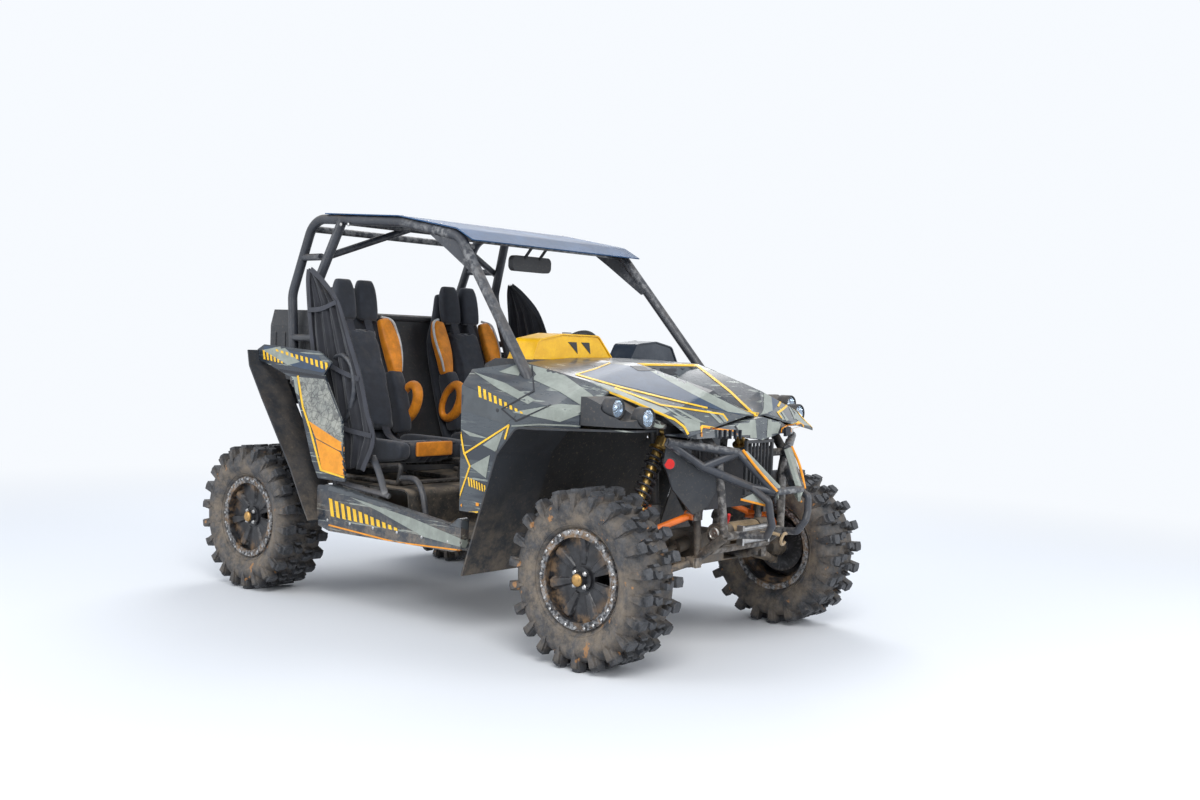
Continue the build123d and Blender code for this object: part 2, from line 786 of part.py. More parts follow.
def arm_pair(joint_z, pivot):
    """Adds the arms of both sides to the part in hand: two legs from a ball joint to two bushings."""
    pivot_x, pivot_z = pivot
    for side in SIDES.values():
        joint = (side * kingpin_x, front_y, joint_z)
        x = side * kingpin_x
        rod((x, front_y, joint_z - ball_half), (x, front_y, joint_z + ball_half), ball_cup)
        pin_z = axle_z + (joint_z - axle_z) / 4
        rod((side * kingpin_x, front_y, joint_z), (side * kingpin_x, front_y, pin_z), ball_pin)
        for y in arm_pivots:
            end = (side * pivot_x, y, pivot_z)
            rod(joint, end, arm_tube)
            x = side * pivot_x
            rod((x, y - bushing_half, pivot_z), (x, y + bushing_half, pivot_z), bushing)
        tie = 0.55
        tie_x = side * (kingpin_x + (pivot_x - kingpin_x) * tie)
        tie_z = joint_z + (pivot_z - joint_z) * tie
        tie_y = [front_y + (y - front_y) * tie for y in arm_pivots]
        rod((tie_x, tie_y[0], tie_z), (tie_x, tie_y[1], tie_z), arm_tube * 0.8)


with BuildPart() as lower_arms:
    arm_pair(lower_joint_z, lower_pivot)
save(lower_arms, "front_lower_arms")
with BuildPart() as upper_arms:
    arm_pair(upper_joint_z, upper_pivot)
    for side in SIDES.values():
        x, z = shock_foot
        ears(side * (x - 22), side * (x + 22), front_y, z - 52, z + eye_drop, eye_half)
        with Locations((side * x, front_y, z - 46)):
            Box(44, 96, 14)
save(upper_arms, "front_upper_arms")

# Shock absorbers, one line each: foot, head, spring start and end as parts of the length
shock_lines = (
    ((shock_foot[0], front_y, shock_foot[1]), (shock_head[0], front_y, shock_head[1]), 0.16, 0.80),
    (rear_shock[0], rear_shock[1], 0.18, 0.80),
)
neck_radius = 8
neck = 30
damper_radius = 17
body_radius = 22
collar_radius = 38
collar_wall = 8
spring_radius = 33
spring_wire = 5
spring_turns = 8
spring_sides = 10
with BuildPart() as shocks:
    for side in SIDES.values():
        for foot, head, low, high in shock_lines:
            a = Vector(side * foot[0], foot[1], foot[2])
            b = Vector(side * head[0], head[1], head[2])
            for end in (a, b):
                rod((end.X, end.Y - eye_half, end.Z), (end.X, end.Y + eye_half, end.Z), eye_radius)
            way = (b - a).normalized()
            rod(a, b, neck_radius)
            rod(a + way * neck, a + (b - a) * 0.6, damper_radius)
            rod(a + (b - a) * 0.55, b - way * neck, body_radius)
            wall = way * collar_wall
            rod(a + (b - a) * low - wall, a + (b - a) * low, collar_radius)
            rod(a + (b - a) * high, a + (b - a) * high + wall, collar_radius)
save(shocks, "shock_absorbers")

# Coil springs round the shock absorbers
with BuildPart() as springs:
    for side in SIDES.values():
        for foot, head, low, high in shock_lines:
            a = Vector(side * foot[0], foot[1], foot[2])
            b = Vector(side * head[0], head[1], head[2])
            start = a + (b - a) * low
            length = (b - a).length * (high - low) - 2 * spring_wire - 2 * seat_gap
            seat = Plane(origin=start + (b - a).normalized() * (spring_wire + seat_gap), z_dir=b - a)
            points = []
            for step in range(spring_turns * spring_sides + 1):
                turn = 2 * pi * step / spring_sides
                height = length * step / (spring_turns * spring_sides)
                place = (spring_radius * cos(turn), spring_radius * sin(turn), height)
                points.append(seat.from_local_coords(place))
            with BuildLine() as coil:
                Polyline(*points)
            with BuildSketch(Plane(origin=coil.line @ 0, z_dir=coil.line % 0)) as wire:
                RegularPolygon(spring_wire, 6)
            sweep(sections=wire.sketch, path=coil.line, transition=Transition.RIGHT)
save(springs, "shock_springs")

# Rear trailing arms with their spindles
hub_face = 575
with BuildPart() as trailing:
    for side in SIDES.values():
        x, y, z = arm_pivot
        rod((side * (x - arm_pivot_half), y, z), (side * (x + arm_pivot_half), y, z), 24)
        tube([(side * x, y, z), (side * 500, 800, 395), (side * 545, rear_y, axle_z)], 22, 100)
        rod((side * 520, rear_y, axle_z), (side * hub_face, rear_y, axle_z), 45)
        rod((side * hub_face, rear_y, axle_z), (side * 690, rear_y, axle_z), spindle_radius)
        x, y, z = rear_shock[0]
        ears(side * (x - shock_ear), side * (x + 55), y, z - 60, z + eye_drop, eye_half)
save(trailing, "trailing_arms")

# Front knuckles
knuckle_low = lower_joint_z + ball_half + 15
knuckle_high = upper_joint_z - ball_half - 8
rod_end_half = 12
open_pivot = 5  # clearance between a tie rod's end and the steering arm
arm_z = rack_z - rod_end_half - open_pivot
for name, side in SIDES.items():
    with BuildPart() as knuckle:
        rod((side * kingpin_x, front_y, knuckle_low), (side * kingpin_x, front_y, knuckle_high), 24)
        with Locations((side * kingpin_x, front_y, axle_z)):
            Sphere(38)
        rod((side * kingpin_x, front_y, axle_z), (side * (kingpin_x + 40), front_y, axle_z), 44)
        rod((side * (kingpin_x + 40), front_y, axle_z), (side * 715, front_y, axle_z), spindle_radius)
        with BuildSketch(Plane.XY.offset(arm_z)) as arm_face:
            with Locations((side * kingpin_x, front_y + steer_arm / 2)):
                Rectangle(24, steer_arm)
            with Locations((side * kingpin_x, front_y + steer_arm)):
                Circle(15)
        extrude(arm_face.sketch, amount=-14)
        x = side * kingpin_x
        rod((x, front_y, 250), (x, front_y, 500), ball_pin + run_gap, mode=Mode.SUBTRACT)
    save(knuckle, f"knuckle_{name}")

# Tie rods on the rack bar
with BuildPart() as ties:
    rod((-kingpin_x, front_y + steer_arm, rack_z), (kingpin_x, front_y + steer_arm, rack_z), rack_bar)
    for side in SIDES.values():
        x = side * kingpin_x
        rod_end = [(x, front_y + steer_arm, rack_z + reach) for reach in (-rod_end_half, rod_end_half)]
        rod(*rod_end, 14)
save(ties, "tie_rods")

# Rims, about the X axis with the outer side at +X
rim_half = rim_width / 2
spoke_x = 62
spoke_wall = 22
hub_length = 90


def build_rim():
    """Returns a rim: barrel, beadlock ring, spokes, hub and brake disc."""
    with BuildPart() as rim:
        with BuildSketch(Plane.XZ) as barrel:
            with BuildLine():
                Polyline(
                    (-rim_half, rim_lip),
                    (-rim_half + 8, rim_lip),
                    (-rim_half + 8, rim_radius),
                    (-rim_half + 40, rim_radius),
                    (-rim_half + 55, rim_radius - 22),
                    (rim_half - 55, rim_radius - 22),
                    (rim_half - 40, rim_radius),
                    (rim_half - 8, rim_radius),
                    (rim_half - 8, rim_lip),
                    (rim_half + 4, rim_lip - 3),
                    (rim_half + 4, rim_radius - 14),
                    (rim_half - 36, rim_radius - rim_wall),
                    (rim_half - 52, rim_radius - 22 - rim_wall),
                    (-rim_half + 52, rim_radius - 22 - rim_wall),
                    (-rim_half + 36, rim_radius - rim_wall),
                    (-rim_half, rim_radius - rim_wall),
                    close=True,
                )
            make_face()
        revolve(barrel.sketch, axis=Axis.X)
        with BuildSketch(Plane.YZ.offset(spoke_x - spoke_wall)) as face:
            Circle(rim_radius - rim_wall - 1)
            with PolarLocations(0, spoke_count):
                with BuildLine():
                    Polyline((58, 16), (148, 44), (158, 0), (148, -44), (58, -16), close=True)
                make_face(mode=Mode.SUBTRACT)
        extrude(face.sketch, amount=spoke_wall)
        rod((spoke_x - hub_length, 0, 0), (spoke_x + 12, 0, 0), hub_radius)
        rod((spoke_x + 12, 0, 0), (spoke_x + 34, 0, 0), 26)
        rod((-20, 0, 0), (-14, 0, 0), disc_radius)
        rod((spoke_x - hub_length, 0, 0), (spoke_x + 4, 0, 0), spindle_radius + run_gap, mode=Mode.SUBTRACT)
    return rim.part


def build_tyre(width):
    """Returns a tyre: a faceted carcass with two rows of staggered lugs."""
    half = width / 2
    tread = tyre_radius - lug_depth
    carcass = (
        (rim_half - 8 - seat_gap, rim_lip + 4),
        (half - 7, 240),
        (half, 275),
        (half - 17, tread - 4),
        (0, tread),
    )
    sections = [(-x, r) for x, r in carcass] + [(x, r) for x, r in reversed(carcass[:-1])]
    with BuildPart() as tyre:
        faces = []
        for x, r in sections:
            with BuildSketch(Plane.YZ.offset(x), mode=Mode.PRIVATE) as ring:
                RegularPolygon(r, lug_count)
            faces.append(ring.sketch)
        loft(sections=faces, ruled=True)
        with BuildSketch(Plane.YZ.offset(-half), mode=Mode.PRIVATE) as bore:
            RegularPolygon(rim_radius + seat_gap, lug_count, major_radius=False)
        extrude(bore.sketch, amount=width, mode=Mode.SUBTRACT)
        for row in (-1, 1):
            for index in range(lug_count):
                angle = lug_pitch * index + row * lug_pitch / 4
                top = tyre_radius * cos(radians(lug_half_angle))
                plane = Plane(
                    origin=(0, top * sin(radians(angle)), -top * cos(radians(angle))),
                    x_dir=(1, 0, 0),
                    z_dir=(0, sin(radians(angle)), -cos(radians(angle))),
                )
                with BuildSketch(plane) as lug:
                    Polygon(
                        (row * 10, -lug_half_length),
                        (row * half, -lug_half_length + 10),
                        (row * half, lug_half_length),
                        (row * 60, lug_half_length - 12),
                        (row * 10, lug_half_length),
                        align=None,
                    )
        extrude(amount=-70)
    return tyre.part


rim_shape = build_rim()
tyres = {"front": build_tyre(front_tyre_width), "rear": build_tyre(rear_tyre_width)}
wheels = (("front", front_y, front_tyre_width), ("rear", rear_y, rear_tyre_width))
for end, y, width in wheels:
    for name, side in SIDES.items():
        turn = 0 if side > 0 else 180
        place = Location((side * (tyre_face - width / 2), y, axle_z), (0, 0, turn))
        with BuildPart() as rim:
            add(rim_shape.moved(place))
        save(rim, f"rim_{end}_{name}")
        with BuildPart() as tyre:
            add(tyres[end].moved(place))
        save(tyre, f"tyre_{end}_{name}")

# Drive shafts with the front differential
shaft_inner_z = 430
with BuildPart() as drive:
    with Locations((0, front_y, skid_z + skid_wall + seat_gap)):
        Box(180, 150, 128, align=(Align.CENTER, Align.CENTER, Align.MIN))
    for side in SIDES.values():
        reach = kingpin_x - 44
        slope = (shaft_inner_z - axle_z) / (reach - 90)
        rod((side * 88, front_y, shaft_inner_z), (side * reach, front_y, axle_z), 12)
        rod((side * (reach - 60), front_y, axle_z + 60 * slope), (side * reach, front_y, axle_z), 30)
        rod((side * 88, front_y, shaft_inner_z), (side * 160, front_y, shaft_inner_z - 72 * slope), 30)
        rod((side * 183, rear_y, shaft_inner_z), (side * 519.7, rear_y, axle_z), 12)
    for side in SIDES.values():
        with Locations((side * 600, rear_y, axle_z)):
            Box(2 * (600 - 519.7), 80, 80, mode=Mode.SUBTRACT)
        with Locations((side * 600, front_y, axle_z)):
            Sphere(43, mode=Mode.SUBTRACT)
    with Locations((0, rear_y, 500)):
        Box(2 * (engine_half + seat_gap), 200, 400, mode=Mode.SUBTRACT)
save(drive, "drive_shafts")

# Steering column, wheel and rack housing
with BuildPart() as column:
    rod(column_foot, column_top, column_radius)
    rod(joint_point, column_foot, 9)
    rod((-150, front_y + steer_arm, rack_z), (150, front_y + steer_arm, rack_z), 22)
    rod((150, front_y + steer_arm, rack_z), joint_point, 14)
    rack_y = front_y + steer_arm
    rod((-170, rack_y, rack_z), (170, rack_y, rack_z), rack_bar + run_gap, mode=Mode.SUBTRACT)
save(column, "steering_column")

wheel_plane = Plane(origin=wheel_point, x_dir=(1, 0, 0), z_dir=column_way)
ring_way = Vector(0, -column_way.Z, column_way.Y)
ring_plane = Plane(origin=wheel_point + Vector(wheel_ring, 0, 0), x_dir=(1, 0, 0), z_dir=ring_way)
with BuildPart() as steering:
    with BuildSketch(ring_plane) as ring:
        Circle(ring_radius)
    revolve(ring.sketch, axis=Axis(wheel_point, column_way))
    rod(wheel_point - column_way * 39.7, wheel_point + column_way * 6, 32)
    for angle in (-20, 200, 90):
        spoke_end = (wheel_ring * cos(radians(angle)), wheel_ring * sin(radians(angle)), 0)
        tip = wheel_plane.from_local_coords(spoke_end)
        rod(wheel_point - column_way * 6, tip, 9)
save(steering, "steering_wheel")

# Dashboard, cowl and instrument hood
dash_half = 578
dash_top = 1176
dash_front = -575 + seat_gap
dash_outline = (
    (-598, 1010),
    (-598, 1090),
    (dash_front, 1110),
    (dash_front, dash_top),
    (-400, dash_top),
    (-340, 1150),
    (-322, 1000),
    (-400, 955),
)
with BuildPart() as dash:
    side_plate(dash_outline, -dash_half, dash_half, 8)
    with Locations((-330, -330, 1065)):
        Box(300, 60, 90, mode=Mode.SUBTRACT)
    rod(column_foot - column_way * 100, column_top, column_radius + panel_gap, mode=Mode.SUBTRACT)
save(dash, "dashboard")
cowl_wall = 6
cowl_foot = dash_top - 6
cowl_shapes = (
    (((-520, cowl_foot), (-478, 1262), (-330, 1290), (-90, 1288), (30, cowl_foot)), -556, -412),
    (((150, cowl_foot), (205, 1258), (345, 1272), (470, 1250), (520, cowl_foot)), -540, -404),
)
with BuildPart() as cowls:
    for line, front, back in cowl_shapes:
        with BuildSketch(Plane.XZ.offset(-back)) as arch:
            with BuildLine():
                FilletPolyline(*line, radius=40)
                offset(amount=cowl_wall, side=Side.RIGHT)
            make_face()
        extrude(arch.sketch, amount=back - front)
    with Locations((0, (front + back) / 2, dash_top + seat_gap)):
        Box(2 * dash_half, 200, 30, align=(Align.CENTER, Align.CENTER, Align.MAX), mode=Mode.SUBTRACT)
save(cowls, "dash_cowls")

# Mirror under the front cross tube
with BuildPart() as mirror_unit:
    with BuildSketch(Plane.XZ.offset(40)) as glass:
        with Locations((-20, 1612)):
            RectangleRounded(262, 72, 26)
    extrude(glass.sketch, amount=30)
    for x in (-70, 30):
        rod((x, -60, 1630), (x, -107.6, 1682.4), 7)
save(mirror_unit, "mirror")

# Side nets, bunched at the rear of the doorways
net_outline = (
    (745, 1560),
    (640, 1500),
    (520, 1400),
    (345, 1050),
    (245, 790),
    (310, 640),
    (500, 620),
    (600, 800),
    (690, 1100),
    (740, 1300),
    (768, 1500),
)
net_x = sill_x + cage_tube + seat_gap
net_wall = 22
with BuildPart() as nets:
    for side in SIDES.values():
        side_plate(net_outline, side * net_x, side * (net_x + net_wall), 20)
save(nets, "side_nets")
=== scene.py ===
"""Looks of a two-seat off-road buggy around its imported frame, in metres."""

from math import cos, pi, radians, sin

import bmesh
import bpy
from mathutils import Matrix, Vector
from mathutils.bvhtree import BVHTree


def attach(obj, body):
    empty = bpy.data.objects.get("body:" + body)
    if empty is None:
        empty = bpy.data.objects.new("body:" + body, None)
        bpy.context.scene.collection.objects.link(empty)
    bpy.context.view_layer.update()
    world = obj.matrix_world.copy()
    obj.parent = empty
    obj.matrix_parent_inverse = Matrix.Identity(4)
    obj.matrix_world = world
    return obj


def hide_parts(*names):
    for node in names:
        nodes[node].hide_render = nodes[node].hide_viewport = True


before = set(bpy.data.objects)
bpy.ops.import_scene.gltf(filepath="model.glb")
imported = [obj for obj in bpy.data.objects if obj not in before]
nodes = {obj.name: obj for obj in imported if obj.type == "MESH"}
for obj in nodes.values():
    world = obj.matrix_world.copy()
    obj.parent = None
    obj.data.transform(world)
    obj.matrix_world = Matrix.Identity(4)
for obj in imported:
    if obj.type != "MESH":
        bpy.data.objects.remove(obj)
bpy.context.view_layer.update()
scene = bpy.context.scene

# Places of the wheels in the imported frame; a tyre's outer side stands at OUTER_X
WHEEL_Y = 1.0705
AXLE_Z = 0.34999
OUTER_X = 0.8
AXLES = (("front", -WHEEL_Y, 0.250), ("rear", WHEEL_Y, 0.270))  # name, y, tyre width
SIDES = {"right": -1, "left": 1}


def vec(x, y, z):
    return Vector((x, y, z))


def link(name, data):
    made = bpy.data.objects.new(name, data)
    scene.collection.objects.link(made)
    return made


# Camera, fitted to the wheels of the photograph
PHOTO_WIDTH, PHOTO_HEIGHT = 1200, 800
EYE = vec(-4.5336, -4.3293, 1.2574)
YAW, PITCH, ROLL = radians(49.808), radians(-2.498), radians(2.102)
FOCAL_PX = 1314.97
SENSOR = 36
ahead = vec(sin(YAW) * cos(PITCH), cos(YAW) * cos(PITCH), sin(PITCH))
level = ahead.cross(vec(0, 0, 1)).normalized()
upright = level.cross(ahead)
right_way = level * cos(ROLL) + upright * sin(ROLL)
up_way = upright * cos(ROLL) - level * sin(ROLL)
camera_data = bpy.data.cameras.new("camera")
camera_data.sensor_width = SENSOR
camera_data.lens = FOCAL_PX / PHOTO_WIDTH * SENSOR
camera = link("camera", camera_data)
turned = Matrix((right_way, up_way, -ahead)).transposed()
camera.matrix_world = Matrix.Translation(EYE) @ turned.to_4x4()
scene.camera = camera


# Materials
class Shader:
    """A node material built by small steps."""

    def __init__(self, name):
        self.material = bpy.data.materials.new(name)
        self.material.use_nodes = True
        self.tree = self.material.node_tree
        self.bsdf = self.tree.nodes["Principled BSDF"]
        self.coords = self.node("ShaderNodeTexCoord").outputs["Object"]

    def node(self, kind, **values):
        made = self.tree.nodes.new(kind)
        for key, value in values.items():
            setattr(made, key, value)
        return made

    def put(self, socket, value):
        if isinstance(value, bpy.types.NodeSocket):
            self.tree.links.new(value, socket)
        elif isinstance(value, tuple) and len(value) == 3 and socket.type == "RGBA":
            socket.default_value = (*value, 1)
        else:
            socket.default_value = value

    def made_of(self, kind, outcome, inputs, **values):
        """A node with its inputs set, by name or number; returns the named outcome."""
        made = self.node(kind, **values)
        for key, value in inputs.items():
            self.put(made.inputs[key], value)
        return made.outputs[outcome]

    def math(self, operation, a, b=0.0, c=0.0, clamp=False):
        return self.made_of("ShaderNodeMath", 0, {0: a, 1: b, 2: c}, operation=operation, use_clamp=clamp)

    def times(self, a, b):
        return self.math("MULTIPLY", a, b)

    def plus(self, a, b):
        return self.math("ADD", a, b, clamp=True)

    def ramp(self, value, slope, start, clamp=False):
        return self.math("MULTIPLY_ADD", value, slope, start, clamp)

    def length(self, a, b):
        return self.math("SQRT", self.math("ADD", self.times(a, a), self.times(b, b)))

    def mapped(self, scale=(1, 1, 1), turn=(0, 0, 0), shift=(0, 0, 0)):
        inputs = {"Vector": self.coords, "Scale": scale, "Rotation": turn, "Location": shift}
        return self.made_of("ShaderNodeMapping", 0, inputs)

    def noise(self, scale, detail=4.0, rough=0.6, vector=None, warp=0.0):
        inputs = {"Vector": vector or self.coords, "Scale": scale, "Detail": detail, "Roughness": rough,
                  "Distortion": warp}
        return self.made_of("ShaderNodeTexNoise", "Fac", inputs)

    def patches(self, scale, detail, low, high, rough=0.6, vector=None):
        return self.step(self.noise(scale, detail, rough, vector), low, high)

    def cells(self, scale, vector, feature):
        inputs = {"Vector": vector, "Scale": scale}
        return self.made_of("ShaderNodeTexVoronoi", "Distance", inputs, feature=feature)

    def step(self, value, low, high):
        inputs = {"Value": value, "From Min": low, "From Max": high}
        return self.made_of("ShaderNodeMapRange", "Result", inputs, interpolation_type="SMOOTHSTEP")

    def mix(self, share, a, b):
        return self.made_of("ShaderNodeMix", 2, {0: share, 6: a, 7: b}, data_type="RGBA")

    def axis(self, name, vector=None):
        return self.made_of("ShaderNodeSeparateXYZ", name, {0: vector or self.coords})

    def surface(self, name):
        return self.node("ShaderNodeNewGeometry").outputs[name]

    def facing_up(self, low=0.1):
        return self.step(self.axis("Z", self.surface("Normal")), low, 1.0)

    def edges(self, low=0.52, high=0.6):
        return self.step(self.surface("Pointiness"), low, high)

    def bump(self, height, strength=0.3, distance=0.002):
        inputs = {"Height": height, "Strength": strength, "Distance": distance}
        return self.made_of("ShaderNodeBump", 0, inputs)

    def finish(self, colour, rough, metal=0.0, normal=None):
        self.put(self.bsdf.inputs["Base Color"], colour)
        self.put(self.bsdf.inputs["Roughness"], rough)
        self.put(self.bsdf.inputs["Metallic"], metal)
        if normal is not None:
            self.put(self.bsdf.inputs["Normal"], normal)
        return self.material


DUST = (0.30, 0.235, 0.165)
MUD = (0.16, 0.115, 0.075)
CLAY = (0.33, 0.17, 0.07)
CAKED = (0.27, 0.17, 0.09)
GRIME = (0.13, 0.095, 0.06)


def shade(colour, factor):
    return tuple(min(1.0, c * factor) for c in colour)


def plain(name, colour, rough=0.5, metal=0.0, dust=0.25, grain=260, bump=0.25, worn=None, low_dust=0.0,
          coat=0.0):
    """Paint, plastic or metal with colour clouds, fine grain, settled dust and rubbed edges."""
    s = Shader(name)
    fine = s.noise(grain, 2)
    base = s.mix(s.patches(5, 5, 0.35, 0.65), shade(colour, 0.8), shade(colour, 1.2))
    if worn:
        base = s.mix(s.times(s.edges(), s.patches(40, 4, 0.42, 0.62)), base, worn)
    settle = s.times(s.facing_up(), s.patches(9, 6, 0.38, 0.7, 0.7))
    specks = s.patches(85, 3, 0.56, 0.72, 0.7)
    film = s.plus(s.times(settle, dust), s.times(specks, dust * 0.6))
    if low_dust:
        spray = s.times(s.step(s.axis("Z"), 0.75, 0.2), s.patches(14, 7, 0.36, 0.66, 0.75))
        film = s.plus(film, s.times(spray, low_dust))
    s.bsdf.inputs["Coat Weight"].default_value = coat
    roughness = s.plus(s.times(film, 0.4), s.ramp(fine, 0.12, rough - 0.06))
    return s.finish(s.mix(film, base, DUST), roughness, metal, s.bump(fine, bump, 0.0006))


def shell_paint(name, dark, mid, pale, share, turn=-22):
    """Painted body shell: dark ground with brushed grey and pale streaks that run down to the front."""
    s = Shader(name)
    lean = (radians(turn), 0, 0)
    along = s.mapped((7, 1.1, 30), lean)
    wide = s.noise(1.0, 3, 0.5, s.mapped((3.2, 1.0, 8), lean, (3, 1, 2)))
    fray = s.noise(9, 4, 0.7, along)
    brushed = s.ramp(s.math("SUBTRACT", fray, 0.5), 0.12, s.noise(2.2, 6, 0.62, along))
    base = s.mix(s.step(wide, 0.47, 0.53), dark, mid)
    base = s.mix(s.step(brushed, 0.68 - 0.2 * share, 0.72 - 0.2 * share), base, pale)
    base = s.mix(s.patches(11, 4, 0.6, 0.66, 0.7, along), base, dark)
    settle = s.times(s.facing_up(0.0), s.patches(7, 7, 0.42, 0.74, 0.75))
    low = s.times(s.step(s.axis("Z"), 0.62, 0.34), s.patches(17, 7, 0.4, 0.68, 0.75))
    film = s.plus(s.times(settle, 0.22), s.times(low, 0.6))
    scratch = s.noise(60, 3, 0.7, s.mapped((1, 0.15, 1), (radians(30), 0, radians(15))))
    rough = s.plus(s.times(film, 0.45), s.ramp(scratch, 0.18, 0.2))
    s.bsdf.inputs["Coat Weight"].default_value = 0.35
    s.bsdf.inputs["Coat Roughness"].default_value = 0.12
    return s.finish(s.mix(film, base, DUST), rough, 0.0, s.bump(scratch, 0.06, 0.0005))


def decal_paint(name, colour, rough=0.35, dirt=0.3):
    """Printed film with faded patches, scuffs and a little dust."""
    s = Shader(name)
    base = s.mix(s.patches(16, 5, 0.35, 0.7, 0.7), shade(colour, 0.82), shade(colour, 1.08))
    scuff = s.times(s.patches(70, 5, 0.6, 0.72, 0.75, s.mapped((1, 0.3, 1.4))), dirt)
    normal = s.bump(s.noise(220, 2), 0.08, 0.0004)
    return s.finish(s.mix(scuff, base, MUD), s.ramp(scuff, 0.4, rough), 0.0, normal)


def tyre_rubber():
    """Worn rubber, tan dust low in the tread and on the sidewall; local coordinates turn with the wheel."""
    s = Shader("tyre_rubber")
    radius = s.length(s.axis("Y"), s.axis("Z"))
    grooves = s.step(radius, 0.346, 0.318)
    flank = s.step(radius, 0.31, 0.225)
    fine = s.noise(150, 4, 0.7)
    base = s.mix(s.patches(30, 5, 0.35, 0.7, 0.7), (0.022, 0.024, 0.028), (0.06, 0.063, 0.07))
    film = s.times(s.patches(11, 7, 0.36, 0.68, 0.72), s.ramp(grooves, 0.34, s.times(flank, 0.3)))
    film = s.plus(film, s.times(s.step(fine, 0.52, 0.75), 0.22))
    clod = s.times(s.patches(19, 3, 0.66, 0.71, 0.5), grooves)
    base = s.mix(clod, s.mix(film, base, DUST), CLAY)
    height = s.math("ADD", s.times(fine, 0.4), s.noise(45, 6, 0.75))
    return s.finish(base, s.ramp(film, 0.25, 0.62, True), 0.0, s.bump(height, 0.45, 0.0022))


def rim_paint(name, centre):
    """Black rim with a scraped bright ring and caked tan dust inside, about the wheel's middle (y, z)."""
    s = Shader(name)
    local = s.mapped(shift=(0, -centre[0], -centre[1]))
    radius = s.length(s.axis("Y", local), s.axis("Z", local))
    scuffs = s.times(s.step(radius, 0.172, 0.176), s.patches(48, 6, 0.5, 0.64, 0.75))
    rubbed = s.times(s.edges(0.53, 0.62), s.patches(60, 4, 0.45, 0.6))
    base = s.mix(s.patches(25, 4, 0.4, 0.7), (0.012, 0.012, 0.014), (0.035, 0.036, 0.04))
    cake = s.times(s.patches(16, 6, 0.44, 0.62, 0.7), s.step(radius, 0.1, 0.165))
    base = s.mix(s.times(cake, 0.75), base, CAKED)
    base = s.mix(s.plus(scuffs, s.times(rubbed, 0.5)), base, (0.36, 0.36, 0.36))
    rough = s.plus(s.times(cake, 0.4), s.ramp(scuffs, -0.1, 0.42))
    return s.finish(base, rough, s.times(scuffs, 0.85), s.bump(s.noise(130, 4, 0.7), 0.35, 0.001))


def cloth(name, colour, weave=900, rough=0.85, sheen=0.3):
    """Coated seat cloth: a fine weave, rubbed and dusty."""
    s = Shader(name)
    warp = s.math("SINE", s.times(s.axis("X"), weave))
    weft = s.math("SINE", s.times(s.math("ADD", s.axis("Z"), s.axis("Y")), weave))
    base = s.mix(s.patches(12, 5, 0.35, 0.68, 0.7), shade(colour, 0.75), shade(colour, 1.25))
    settle = s.times(s.facing_up(), s.patches(22, 6, 0.45, 0.7, 0.75))
    base = s.mix(s.times(settle, 0.28), base, DUST)
    s.bsdf.inputs["Sheen Weight"].default_value = sheen
    height = s.ramp(s.times(warp, weft), 0.3, s.noise(60, 4, 0.7))
    return s.finish(base, s.ramp(s.noise(35, 3), 0.15, rough - 0.1, True), 0.0, s.bump(height, 0.3, 0.0012))


def cowl_paint():
    """Yellow gloss on the passenger's cowl, dark on the driver's."""
    s = Shader("cowl_paint")
    fade = s.patches(14, 5, 0.35, 0.7, 0.7)
    yellow = s.mix(fade, (0.80, 0.42, 0.006), (0.95, 0.55, 0.012))
    dark = s.mix(fade, (0.018, 0.026, 0.04), (0.045, 0.055, 0.07))
    scuff = s.times(s.patches(60, 5, 0.58, 0.72, 0.75), 0.3)
    base = s.mix(scuff, s.mix(s.step(s.axis("X"), 0.085, 0.095), yellow, dark), MUD)
    return s.finish(base, s.ramp(scuff, 0.4, 0.3), 0.0, s.bump(s.noise(260, 2), 0.08, 0.0004))


def glass_lens():
    s = Shader("lens_glass")
    s.bsdf.inputs["Transmission Weight"].default_value = 0.9
    s.bsdf.inputs["IOR"].default_value = 1.45
    ribs = s.math("SINE", s.times(s.axis("X"), 900))
    film = s.patches(40, 5, 0.5, 0.8, 0.7)
    colour = s.mix(film, (0.72, 0.82, 0.92), (0.5, 0.48, 0.42))
    return s.finish(colour, s.ramp(film, 0.2, 0.04), 0.0, s.bump(ribs, 0.05, 0.0004))


def bright_metal(name, colour, rough, dirt):
    s = Shader(name)
    grime = s.times(s.patches(38, 6, 0.46, 0.68, 0.75), dirt)
    base = s.mix(grime, s.mix(s.noise(9, 4), shade(colour, 0.85), colour), GRIME)
    metal = s.math("SUBTRACT", 1.0, grime)
    return s.finish(base, s.ramp(grime, 0.6, rough, True), metal, s.bump(s.noise(180, 3), 0.15, 0.0006))


def marble_paint():
    """Rubbed print of light rock: dark veins and blots on grey."""
    s = Shader("panel_marble")
    veins = s.step(s.cells(26, s.mapped((1, 1, 1.2)), "DISTANCE_TO_EDGE"), 0.09, 0.0)
    blots = s.step(s.noise(24, 8, 0.8, warp=1.6), 0.48, 0.6)
    base = s.mix(s.patches(13, 6, 0.35, 0.65, 0.7), (0.22, 0.23, 0.21), (0.37, 0.37, 0.32))
    base = s.mix(s.times(blots, 0.75), base, (0.07, 0.07, 0.07))
    base = s.mix(s.times(veins, s.noise(9, 3)), base, (0.04, 0.04, 0.045))
    return s.finish(base, 0.55, 0.0, s.bump(blots, 0.08, 0.0005))


